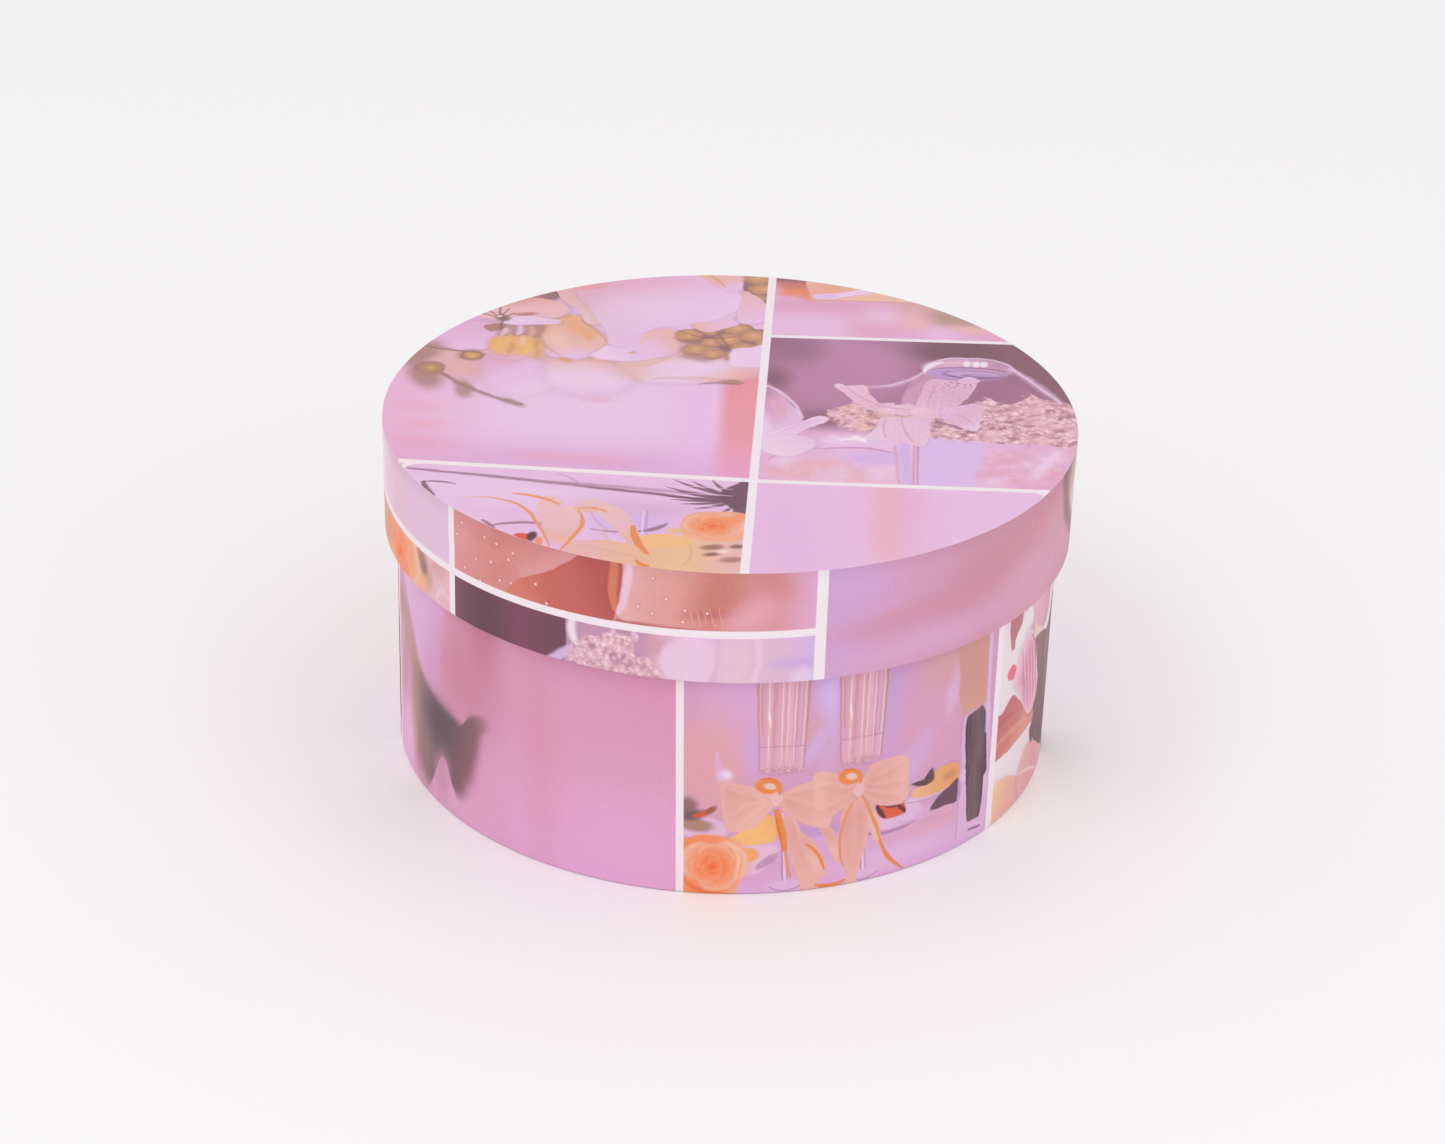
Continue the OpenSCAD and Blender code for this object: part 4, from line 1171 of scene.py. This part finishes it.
def flower_cluster(p):
    """Plum ground with a cluster of tiny blossoms before pale blurred ones."""
    p.wobble(2.0, 10)
    dark = p.fill(
        (-110, 96), (-58, 102), (124, 84, 96), (104, 72, 82), (126, 76, 96), (116, 76, 90),
    )
    p.side(dark, -57, 100, 90, 0.6)
    p.side((196, 150, 180), -57, 100, -90, 0.6, 0.9)
    p.stroke((222, 186, 224), [(-66, 88), (-58, 93), (-53, 98)], 4.0, 0.9, 0.9, 0.6)
    p.stroke(PAPER_WHITE, [(-54, 109), (-54.6, 103), (-52.6, 97)], 3.6, 1.2, 0.85, 0.6)
    tones = p.fill(
        (-24, 98), (34, 98), (224, 178, 196), LILAC, (226, 188, 208), (224, 186, 214),
        (212, 182, 232),
    )
    p.side(tones, -25, 100, -90, 4, 0.95)
    p.oval((206, 154, 170), -24, 103, 5, 4, 0, 0.7, 0.7)
    p.oval((206, 152, 166), -16, 104, 4, 3, 0, 0.7, 0.6)
    p.oval((236, 200, 226), -12, 98, 10, 10, 0, 0.15, 0.85)
    p.stroke((220, 178, 208), [(-2, 110), (-1.4, 100), (-4, 90)], 1.4, 0.8, 0.7)
    p.oval((232, 196, 212), 4, 98, 5, 10, 0, 0.5, 0.7)
    p.stroke((236, 204, 228), [(11, 110), (12.4, 100), (10.6, 90)], 2.0, 1.0, 0.8)
    p.oval((200, 164, 220), 25, 98, 8, 2.0, 0, 0.8, 0.6)
    p.oval((238, 216, 238), 28, 92, 3.6, 3, 0, 0.8, 0.6)
    p.wobble(1.8, 1.6)
    dots = p.puffs(3.6, (248, 220, 226), (232, 190, 206), (196, 144, 164))
    small = p.puffs(2.2, (246, 216, 220), (228, 184, 194), (190, 136, 152))
    dots = p.mix(p.step(p.noise(4, 2.0), 0.42, 0.58, 0, 1), dots, small)
    dots = p.mix(p.step(p.noise(7, 3.0), 0.5, 0.68, 0, 0.75), dots, linear((172, 120, 146)))
    p.wobble(5, 3.5)
    heap = [
        (-55, 88), (-52, 99), (-44, 104), (-36, 108), (-31, 106), (-31, 99), (-25, 98), (-23, 88),
    ]
    p.shape(dots, heap, 1.2)


def rim_rose(p):
    """Orange petals, a dark stem and a cream blur."""
    p.wobble(2.0, 10)
    tones = p.fill((-130, 100), (-108, 100), (226, 180, 176), (226, 184, 196), PEACH)
    p.side(tones, -130, 100, -90, 3)
    p.stroke((238, 208, 216), [(-121, 92), (-116, 97), (-112, 95)], 2.4, 1.2, 0.7, 0.5)
    p.oval((214, 160, 160), -119, 104, 6, 3, 20, 0.6, 0.7)
    p.oval((238, 180, 146), -137, 98, 8, 12, 0, 0.6)
    p.oval((164, 120, 128), -131, 104, 5, 3.4, -40, 0.7, 0.9)
    p.oval((150, 116, 110), -129, 100.5, 2.4, 2.6, -30, 0.7, 0.9)
    p.oval((206, 160, 144), -126, 97, 2.6, 4, -20, 0.8, 0.8)
    p.rose(-151, 97, 17, (246, 118, 84), (248, 148, 112), (240, 172, 138), 7)
    p.oval((224, 154, 128), -170, 98, 7, 14, -20, 0.8, 0.8)
    p.oval((216, 172, 158), -180, 98, 5, 14, -20, 0.8, 0.8)


def rim_satin(p):
    """Lilac turning to rosy mauve, with soft level folds."""
    p.wobble(5, 40)
    tones = p.fill(
        (36, 118), (160, 106), (208, 162, 208), (212, 156, 188), (210, 150, 172), (214, 158, 178),
        (210, 156, 172),
    )
    p.side(tones, 0, 110, -90, 1)
    p.oval((210, 144, 164), 82, 111, 40, 4.5, 5, 0.9, 0.7)
    p.oval((206, 138, 156), 128, 124, 32, 7, 8, 0.9, 0.6)
    p.oval((218, 170, 208), 76, 97, 34, 5, 4, 0.9, 0.7)
    p.oval((216, 164, 190), 140, 102, 26, 7, 2, 0.9, 0.6)
    p.oval((212, 166, 214), 50, 124, 12, 8, 0, 0.9, 0.6)


def stripes(p):
    """A dark bent bar with beige and grey bars beyond it, well out of focus."""
    p.wobble(4, 30)
    across = p.slope(164, 124, 240, 96)
    colours = p.ramp(
        across, (0.0, (178, 146, 146)), (0.12, (206, 178, 170)), (0.24, (226, 208, 208)),
        (0.38, (138, 106, 112)), (0.52, (190, 160, 162)), (0.68, (124, 94, 102)),
        (0.84, (214, 176, 190)), (1.0, DEEP_LILAC),
    )
    p.side(colours, 169, 118, -58, 3)
    p.stroke((152, 120, 128), [(160, 138), (164, 121), (174, 108), (192, 99)], 8, 2.6, 0.9)
    p.side((196, 140, 158), 176, 96, 220, 5, 0.7)


def pale_cloth(p):
    """Pale lilac cloth, whitish at one side."""
    p.oval((230, 192, 206), -156, 118, 8, 30, 0, 0.9, 0.8)
    p.side((240, 220, 228), -166, 110, 90, 10, 0.9)
    p.lay(LILAC, p.step(p.noise(20, 1.5, (0.6, 4)), 0.4, 0.7, 0, 0.3))


# ---------------------------------------------------------------- layouts

# A layout is one Picture, or a Line with the layouts on its left and on its right.

class Line:
    """A white line of the collage: a point on it, its direction and its width."""

    def __init__(self, x, y, turn, width):
        self.x = x
        self.y = y
        self.turn = turn
        self.width = width

    def across(self, x, y):
        """Distance to the left of the line."""
        angle = math.radians(self.turn)
        return (y - self.y) * math.cos(angle) - (x - self.x) * math.sin(angle)

    def shifted(self, distance):
        """A point that far to the left of the line."""
        angle = math.radians(self.turn)
        return self.x - distance * math.sin(angle), self.y + distance * math.cos(angle)


class Picture:
    """A picture of the collage: its ground colour, the functions that paint its parts
    from back to front, and where its own origin and scale put it on the paper."""

    def __init__(self, ground, parts, x=0.0, y=0.0, scale=1.0):
        self.ground = ground
        self.parts = parts
        self.x = x
        self.y = y
        self.scale = scale

    def local(self, x, y):
        """A place on the paper as the picture's own functions measure it."""
        return (x - self.x) / self.scale, (y - self.y) / self.scale


def row(*parts):
    """A layout of pictures from left to right, with an upright Line between each two."""
    if len(parts) == 1:
        return parts[0]
    first, line, *rest = parts
    return (line, first, row(*rest))


def panels(layout, borders=()):
    """Every picture of a layout, with its lines and the side of each that it is on."""
    if isinstance(layout, Picture):
        return [(layout, borders)]
    line, left, right = layout
    return panels(left, borders + ((line, 1),)) + panels(right, borders + ((line, -1),))


BOUQUET = (bouquet_ground, bouquet_petals, bloom, pistil, berries)
JARS = (jars_ground, jar_glass, front_glass, dried_flowers, lace_bow)
CLOTH = (laid_cloth, ribbons)
TABLE = (table_ground, plates, flutes, table_bows, narrow_ribbons, table_rose, dark_vase)

TOP_LAYOUT = (
    Line(11, 0, 88, 3.2),
    (
        Line(-50, -55.5, -3.4, 3.0),
        Picture(LILAC, BOUQUET),
        Picture(LILAC, CLOTH),
    ),
    (
        Line(60, 69.6, 0, 2.6),
        Picture(ROSE_LILAC, (folded_paper,)),
        (
            Line(60, -60, -0.8, 2.8),
            Picture(PLUM, JARS),
            Picture(LILAC, (satin, satin_corner), 56, 0),
        ),
    ),
)


# The pictures drawn only on the walls carry painted shade in their colours: they are a little darker than
# their print, as the walls get less light than the lid's top. Pictures shared with the top keep the top's
# colours.
RIM_LAYOUT = row(
    Picture(LILAC, (satin,), -390, 130),
    Line(-338, 112, 90, 3.4),
    Picture(PLUM, JARS, -340, 110, 0.8),
    Line(-236, 112, 90, 3.4),
    Picture((206, 152, 168), (stripes,), -402, 0),
    Line(-187, 112, 90, 2.4),
    (
        Line(-150, 108.2, 0, 2.8),
        Picture((226, 191, 217), (pale_cloth,)),
        Picture(ORANGE_PALE, (rim_rose,)),
    ),
    Line(-110.3, 112, 90, 3.2),
    (
        Line(0, 109.2, 0.55, 2.9),
        Picture(ROSY, (pearl_cloth,)),
        Picture(PLUM_LIGHT, (flower_cluster,)),
    ),
    Line(34, 112, 90, 4.0),
    Picture((207, 160, 202), (rim_satin, stripes)),
    Line(236, 112, 90, 3.4),
    Picture(LILAC, BOUQUET, 372, 66, 0.9),
    Line(384, 112, 90, 3.0),
    Picture(LILAC, (satin,), 410, 130),
)

# As on the rim, the pictures drawn only on the base's wall, and the MAUVE_PINK ground under them, carry
# painted shade: they are a little darker than their print.
BASE_LAYOUT = row(
    Picture(MAUVE_PINK, (rim_satin,), -440, -30),
    Line(-300, 60, 90, 3.4),
    Picture(MAUVE_PINK, TABLE, -285, 0),
    Line(-172, 60, 90, 3.2),
    Picture(MAUVE_PINK, (dark_leaf,)),
    Line(-14.0, 45, 91.1, 2.8),
    Picture((212, 158, 192), TABLE),
    Line(117, 60, 90, 3.8),
    Picture((234, 220, 227), (lilies,)),
    Line(196, 60, 90, 3.4),
    Picture(PLUM, JARS, 186, 66, 1.1),
    Line(330, 60, 90, 3.4),
    Picture(LILAC, (satin,), 365, 130, 1.2),
)


# ---------------------------------------------------------------- materials

def new_material(name):
    """A material with an empty node tree."""
    material = bpy.data.materials.new(name)
    material.use_nodes = True
    material.node_tree.nodes.clear()
    return material


def surface(p, colour, roughness, height, height_mm, gloss=0.22):
    """Ends a material: one shader, its colour, its roughness and its relief."""
    inputs = {"Height": height, "Distance": height_mm * MM, "Strength": 1.0}
    bump = p.node("Bump", inputs).outputs[0]
    shader = p.node("BsdfPrincipled", {
        "Base Color": colour, "Roughness": roughness, "Normal": bump,
        "Specular IOR Level": gloss,
    })
    output = p.node("OutputMaterial")
    p.tree.links.new(shader.outputs[0], output.inputs[0])


def part_group(draw):
    """The node group of one part of a picture: the paint under it goes in, and over it out."""
    if draw.__name__ in bpy.data.node_groups:
        return bpy.data.node_groups[draw.__name__]
    tree = bpy.data.node_groups.new(draw.__name__, "ShaderNodeTree")
    tree.interface.new_socket("Under", in_out="INPUT", socket_type="NodeSocketColor")
    tree.interface.new_socket("Over", in_out="OUTPUT", socket_type="NodeSocketColor")
    under = tree.nodes.new("NodeGroupInput").outputs[0]
    p = Paint(tree, under)
    draw(p)
    tree.links.new(p.colour, tree.nodes.new("NodeGroupOutput").inputs[0])
    return tree


def printed(name, picture, borders):
    """The printed paper of one panel, with its share of the white lines round it."""
    material = new_material(name)
    p = Paint(material.node_tree, linear(picture.ground))
    for draw in picture.parts:
        part = material.node_tree.nodes.new("ShaderNodeGroup")
        part.node_tree = part_group(draw)
        if draw is picture.parts[0]:
            part.inputs[0].default_value = p.colour
        else:
            material.node_tree.links.new(p.colour, part.inputs[0])
        p.colour = part.outputs[0]
    for line, side in borders:
        edge = line.shifted(side * line.width / 2)
        turn = line.turn if side < 0 else line.turn + 180
        p.side(PAPER_WHITE, *picture.local(*edge), turn, 0.15 / picture.scale)
    # crossed threads of linen
    warp = p.noise(THREAD, 1.0, (0.6, 9))
    weft = p.noise(THREAD, 1.0, (9, 0.6))
    threads = p.math("ADD", warp, weft)
    tone = p.math("MULTIPLY_ADD", threads, 0.07, 0.94)
    speck = p.math("MULTIPLY_ADD", p.noise(0.35, 0.0), 0.05, 0.975)
    tone = p.math("MULTIPLY", tone, speck)
    grey = p.node("CombineColor", {0: tone, 1: tone, 2: tone}).outputs[0]
    colour = p.mix(1.0, p.colour, grey, "MULTIPLY")
    roughness = p.math("MULTIPLY_ADD", p.noise(22, 3.0), 0.2, 0.48)
    relief = p.math("MULTIPLY_ADD", p.noise(28, 2.0), 8.0, threads)
    surface(p, colour, roughness, relief, height_mm=0.02)
    return material


def plain_paper(name, base, tone, fibre_mm=0.02):
    """Plain paper: cloudy fibres, faint flecks and a soft cockle."""
    material = new_material(name)
    p = Paint(material.node_tree, linear(base))
    place = p.node("TexCoord").outputs["Object"]
    mm = p.node("VectorMath", {0: place, "Scale": 1 / MM}, operation="SCALE").outputs[0]
    cloud = p.node("TexNoise", {"Vector": mm, "Scale": 0.09, "Detail": 5.0}).outputs["Fac"]
    fibre = p.node("TexNoise", {"Vector": mm, "Scale": 1.6, "Detail": 3.0}).outputs["Fac"]
    fleck = p.node("TexVoronoi", {"Vector": mm, "Scale": 0.35}).outputs["Distance"]
    p.lay(tone, p.step(cloud, 0.35, 0.7, 0, 0.7))
    p.lay(tone, p.step(fibre, 0.45, 0.75, 0, 0.6))
    p.lay(between(tone, BROWN, 0.4), p.step(fleck, 0.03, 0.09, 0.5, 0))
    roughness = p.math("MULTIPLY_ADD", fibre, 0.15, 0.68)
    relief = p.math("MULTIPLY_ADD", cloud, 4.0, fibre)
    surface(p, p.colour, roughness, relief, fibre_mm, gloss=0.25)
    return material


# ---------------------------------------------------------------- folding

def rounded(corners):
    """A path through (r, z, fillet radius) corners, with arcs in place of the corners.

    It has a guard point on each side of an arc, which keeps the flats' shading flat."""
    guard = 0.4
    path = [Vector(corners[0][:2])]
    for before, here, after in zip(corners, corners[1:], corners[2:]):
        corner = Vector(here[:2])
        back = (Vector(before[:2]) - corner).normalized()
        ahead = (Vector(after[:2]) - corner).normalized()
        half = back.angle(ahead) / 2
        reach = here[2] / math.tan(half)
        steps = 6
        path.append(corner + back * (reach + guard))
        middle = corner + (back + ahead).normalized() * (here[2] / math.sin(half))
        start = corner + back * reach - middle
        sweep = math.pi - 2 * half
        turn = 1 if ahead.cross(back) > 0 else -1
        for i in range(steps + 1):
            angle = turn * sweep * i / steps
            c, s = math.cos(angle), math.sin(angle)
            path.append(middle + Vector((start.x * c - start.y * s, start.x * s + start.y * c)))
        path.append(corner + ahead * (reach + guard))
    path.append(Vector(corners[-1][:2]))
    return path


class Fold:
    """How a mark on the flat paper, its y or a disc's radius, becomes a radius and a
    height: the paper follows a path, and its mark fixed_mark lies at fixed_at."""

    def __init__(self, path, fixed_at, fixed_mark):
        lengths = [0.0]
        for a, b in zip(path, path[1:]):
            lengths.append(lengths[-1] + (b - a).length)
        nearest = min(range(len(path)), key=lambda i: (path[i] - Vector(fixed_at)).length)
        shift = fixed_mark - lengths[nearest]
        self.path = path
        self.marks = [length + shift for length in lengths]

    def at(self, mark):
        """The radius and height of the folded paper at a mark."""
        marks = self.marks
        k = 0
        while k < len(marks) - 2 and marks[k + 1] < mark:
            k += 1
        share = (mark - marks[k]) / (marks[k + 1] - marks[k])
        return self.path[k].lerp(self.path[k + 1], share)


def cut_and_print(mesh, layout, name):
    """Cuts a flat mesh along the layout's lines and gives each panel its material."""
    found = panels(layout)
    lines = {line for _, borders in found for line, _ in borders}
    for line in sorted(lines, key=lambda line: (line.x, line.y)):
        angle = math.radians(line.turn)
        bmesh.ops.bisect_plane(
            mesh, geom=mesh.verts[:] + mesh.edges[:] + mesh.faces[:], dist=1e-4,
            plane_co=(line.x, line.y, 0), plane_no=(-math.sin(angle), math.cos(angle), 0),
        )
    for face in mesh.faces:
        middle = face.calc_center_median()
        for index, (_, borders) in enumerate(found):
            if all(line.across(middle.x, middle.y) * side > 0 for line, side in borders):
                face.material_index = index
    layer = mesh.loops.layers.uv.new(PRINT_MAP)
    for face in mesh.faces:
        picture = found[face.material_index][0]
        for loop in face.loops:
            loop[layer].uv = picture.local(*loop.vert.co.xy)
    return [printed(f"{name}_{i + 1:02d}", *panel) for i, panel in enumerate(found)]


def finish_piece(mesh, name, body, node, materials, thickness):
    """Makes the folded mesh a piece with thickness that rides on a body."""
    for vertex in mesh.verts:
        vertex.co *= MM
    for face in mesh.faces:
        face.smooth = True
    data = bpy.data.meshes.new(name)
    mesh.to_mesh(data)
    mesh.free()
    data.set_sharp_from_angle(angle=math.radians(40))
    piece = bpy.data.objects.new(name, data)
    bpy.context.scene.collection.objects.link(piece)
    for material in materials:
        data.materials.append(material)
    shell = piece.modifiers.new("Thickness", "SOLIDIFY")
    shell.thickness = thickness * MM
    shell.offset = -1
    shell.material_offset_rim = len(materials) - 1
    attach(piece, body)
    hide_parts(node)
    return piece


def strip(name, body, node, fold, radius, thickness, paper, layout=None, lap=None):
    """A long paper bent round the axis, its ends meeting at the back.

    With lap, (lowest y, highest y), it goes on past the seam between those heights and
    lies over its own other end."""
    half = math.pi * radius
    # a hair short of the place where the ends meet
    seam = half - 0.01
    across = [half * (2 * i / COLUMNS - 1) for i in range(COLUMNS + 1)]
    if lap:
        across += [half + LAP * (i + 1) / LAP_COLUMNS for i in range(LAP_COLUMNS)]
    mesh = bmesh.new()
    grid = [[mesh.verts.new((x, y, 0)) for y in fold.marks] for x in across]
    for left, right in zip(grid, grid[1:]):
        for i in range(len(fold.marks) - 1):
            x = left[i].co.x
            y = (left[i].co.y + left[i + 1].co.y) / 2
            if x < seam or lap[0] < y < lap[1]:
                mesh.faces.new((left[i], right[i], right[i + 1], left[i + 1]))
    loose = [vertex for vertex in mesh.verts if not vertex.link_faces]
    bmesh.ops.delete(mesh, geom=loose, context="VERTS")
    materials = [paper]
    if layout:
        materials = cut_and_print(mesh, layout, name) + [paper]
    for vertex in mesh.verts:
        x, y, _ = vertex.co
        r, z = fold.at(y)
        if lap and x > seam and lap[0] < y < lap[1]:
            r += thickness
        angle = x / radius - math.pi / 2
        vertex.co = (r * math.cos(angle), r * math.sin(angle), z)
    return finish_piece(mesh, name, body, node, materials, thickness)


def disc(name, body, node, fold, thickness, paper, layout):
    """A round paper, flat in the middle and folded down at its edge."""
    mesh = bmesh.new()
    rings = []
    for mark in fold.marks[1:]:
        ring = []
        for i in range(COLUMNS):
            angle = math.tau * i / COLUMNS
            ring.append(mesh.verts.new((mark * math.cos(angle), mark * math.sin(angle), 0)))
        rings.append(ring)
    mesh.faces.new(rings[0])
    for inner, outer in zip(rings, rings[1:]):
        for i in range(COLUMNS):
            j = (i + 1) % COLUMNS
            mesh.faces.new((inner[i], outer[i], outer[j], inner[j]))
    materials = cut_and_print(mesh, layout, name) + [paper]
    for vertex in mesh.verts:
        x, y, _ = vertex.co
        mark = math.hypot(x, y)
        r, z = fold.at(mark)
        share = r / mark if mark > 1e-6 else 1
        vertex.co = (x * share, y * share, z)
    return finish_piece(mesh, name, body, node, materials, thickness)


# ---------------------------------------------------------------- the box

LOW = 0
HIGH = 1


def height_of(node, end):
    """Height of the LOW or the HIGH end of a CAD node."""
    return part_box(node)[end].z / MM


def reach_of(node):
    """The farthest that a CAD node gets from the axis."""
    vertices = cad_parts[node].data.vertices
    return max(math.hypot(v.co.x, v.co.y) for v in vertices) / MM


wall_r = reach_of("base_wall_board")
rim_r = reach_of("lid_rim_board")
table_z = height_of("base_outer_wrap", LOW)
mouth_z = height_of("base_outer_wrap", HIGH)
rim_low_z = height_of("lid_rim_wrap", LOW)
rim_high_z = height_of("lid_rim_wrap", HIGH)
top_z = height_of("lid_top_paper", HIGH)
turn_down_z = height_of("lid_top_paper", LOW)
floor_z = height_of("base_floor_board", HIGH)
ceiling_z = height_of("lid_top_board", LOW)
mouth_turn_in_z = mouth_z - MOUTH_TURN_IN
rim_turn_in_z = rim_low_z + RIM_TURN_IN

white_core = plain_paper("Paper_Core", (244, 236, 238), (232, 222, 226))
lining = plain_paper("Lining_Paper", (243, 238, 230), (231, 222, 211))


def base_wrap():
    """The printed paper of the wall, turned in over the mouth and under the foot."""
    outer = wall_r + PAPER
    inner = wall_r - BOARD - PAPER
    path = rounded([
        (outer - FOOT_TURN_UNDER, table_z, 0),
        (outer, table_z, FOLD),
        (outer, mouth_z, FOLD),
        (inner, mouth_z, FOLD),
        (inner, mouth_turn_in_z, 0),
    ])
    fold = Fold(path, (outer, table_z + FOLD), table_z + FOLD)
    strip(
        "Base_Printed_Wrap", "box", "base_outer_wrap", fold, outer, PAPER,
        white_core, BASE_LAYOUT, (table_z + FOLD, mouth_z - FOLD),
    )


def rim_wrap():
    """The printed paper of the rim, over the top's turn-down and up inside the rim."""
    over = rim_r + 2 * PAPER
    under = rim_r + PAPER
    inner = rim_r - BOARD - PAPER
    path = rounded([
        (inner, rim_turn_in_z, 0),
        (inner, rim_low_z, FOLD),
        (under, rim_low_z, FOLD),
        (under, turn_down_z - BRIDGE, BRIDGE_BEND),
        (over, turn_down_z + PAPER, BRIDGE_BEND),
        (over, rim_high_z, 0),
    ])
    fold = Fold(path, (under, rim_low_z + FOLD), rim_low_z + FOLD)
    strip(
        "Lid_Printed_Rim_Wrap", "lid", "lid_rim_wrap", fold, over, PAPER,
        white_core, RIM_LAYOUT, (rim_low_z + FOLD, rim_high_z + 1),
    )


def top_paper():
    """The printed disc of the top, turned down round the rim."""
    edge = rim_r + PAPER
    path = rounded([
        (0, top_z, 0),
        (edge, top_z, FOLD),
        (edge, turn_down_z, 0),
    ])
    path.insert(1, Vector((edge - TOP_BAND, top_z)))
    fold = Fold(path, (0, top_z), 0)
    disc(
        "Lid_Printed_Top_Paper", "lid", "lid_top_paper", fold, PAPER,
        white_core, TOP_LAYOUT,
    )


def stepped_lining(name, body, node, radius, corners):
    """A plain paper glued up inside a wall and over the edge of its turn-in."""
    path = rounded(corners)
    path.reverse()
    fold = Fold(path, path[0], 0)
    strip(name, body, node, fold, radius, LINING, lining)


def base_lining():
    wall = wall_r - BOARD
    stepped_lining("Base_Wall_Lining_Paper", "box", "base_wall_lining", wall, [
        (wall - LINING, floor_z, 0),
        (wall - LINING, mouth_turn_in_z - LINING_STEP, LINING_BEND),
        (wall - PAPER - LINING, mouth_turn_in_z, LINING_BEND),
        (wall - PAPER - LINING, mouth_z - LINING_DROP, 0),
    ])


def rim_lining():
    rim = rim_r - BOARD
    stepped_lining("Lid_Rim_Lining_Paper", "lid", "lid_rim_lining", rim, [
        (rim - PAPER - LINING, rim_low_z + LINING_DROP, 0),
        (rim - PAPER - LINING, rim_turn_in_z, LINING_BEND),
        (rim - LINING, rim_turn_in_z + LINING_STEP, LINING_BEND),
        (rim - LINING, ceiling_z, 0),
    ])


def dress_frame():
    """Gives the CAD nodes that stay their materials: boards, tapes and lining discs."""
    board = plain_paper("Greyboard", (176, 170, 158), (150, 142, 128), 0.06)
    tape = plain_paper("Gummed_Tape", (196, 162, 118), (178, 142, 98), 0.03)
    kept = {
        "base_wall_board": board, "base_floor_board": board, "lid_top_board": board,
        "lid_rim_board": board, "base_joint_tape": tape, "lid_joint_tape": tape,
        "base_floor_lining": lining, "base_bottom_sheet": lining, "lid_ceiling_lining": lining,
    }
    for name, material in kept.items():
        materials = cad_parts[name].data.materials
        materials.clear()
        materials.append(material)


# ---------------------------------------------------------------- the studio

def backdrop():
    """A white floor in an almost white room."""
    scene = bpy.context.scene
    scene.view_settings.view_transform = "Standard"
    world = bpy.data.worlds.new("Studio")
    world.use_nodes = True
    background = world.node_tree.nodes["Background"]
    background.inputs["Color"].default_value = (1.0, 0.99, 0.985, 1)
    background.inputs["Strength"].default_value = 0.86
    scene.world = world

    bpy.ops.mesh.primitive_plane_add(size=8, location=(0, 0, 0))
    floor = bpy.context.object
    floor.name = "Floor"
    floor_material = new_material("Floor")
    p = Paint(floor_material.node_tree, linear((252, 251, 252)))
    place = p.node("TexCoord").outputs["Object"]
    grain = p.node("TexNoise", {"Vector": place, "Scale": 60.0}).outputs["Fac"]
    surface(p, p.colour, roughness=0.75, height=grain, height_mm=0.02, gloss=0.2)
    floor.data.materials.append(floor_material)


def soft_light(name, place, size, watts):
    """A square lamp that faces the box."""
    light = bpy.data.lights.new(name, "AREA")
    light.size = size
    light.energy = watts
    lamp = bpy.data.objects.new(name, light)
    lamp.location = place
    lamp.rotation_euler = (-Vector(place)).to_track_quat("-Z", "Y").to_euler()
    bpy.context.scene.collection.objects.link(lamp)


def camera():
    """A long lens 1.3 metres away, looking 28 degrees down."""
    distance = 1.284
    elevation = math.radians(25.09)
    down = math.radians(27.80)
    roll = math.radians(1.73)
    yaw = math.radians(-0.06)
    data = bpy.data.cameras.new("Camera")
    data.sensor_width = 36
    data.lens = 85.3
    eye = Vector((0, -distance * math.cos(elevation), distance * math.sin(elevation) + top_z * MM))
    ahead = Vector((math.sin(yaw) * math.cos(down), math.cos(yaw) * math.cos(down), -math.sin(down)))
    right = ahead.cross(Vector((0, 0, 1))).normalized()
    up = right.cross(ahead)
    x = right * math.cos(roll) + up * math.sin(roll)
    y = up * math.cos(roll) - right * math.sin(roll)
    viewer = bpy.data.objects.new("Camera", data)
    rotation = viewer.matrix_world.to_3x3()
    rotation.col[0], rotation.col[1], rotation.col[2] = x, y, -ahead
    viewer.matrix_world = rotation.to_4x4()
    viewer.location = eye
    bpy.context.scene.collection.objects.link(viewer)
    bpy.context.scene.camera = viewer


camera()
backdrop()
soft_light("Key", (-1.1, -1.5, 2.0), 1.6, 9)
soft_light("Fill", (1.6, -1.2, 1.3), 1.6, 4)
base_wrap()
rim_wrap()
top_paper()
base_lining()
rim_lining()
dress_frame()
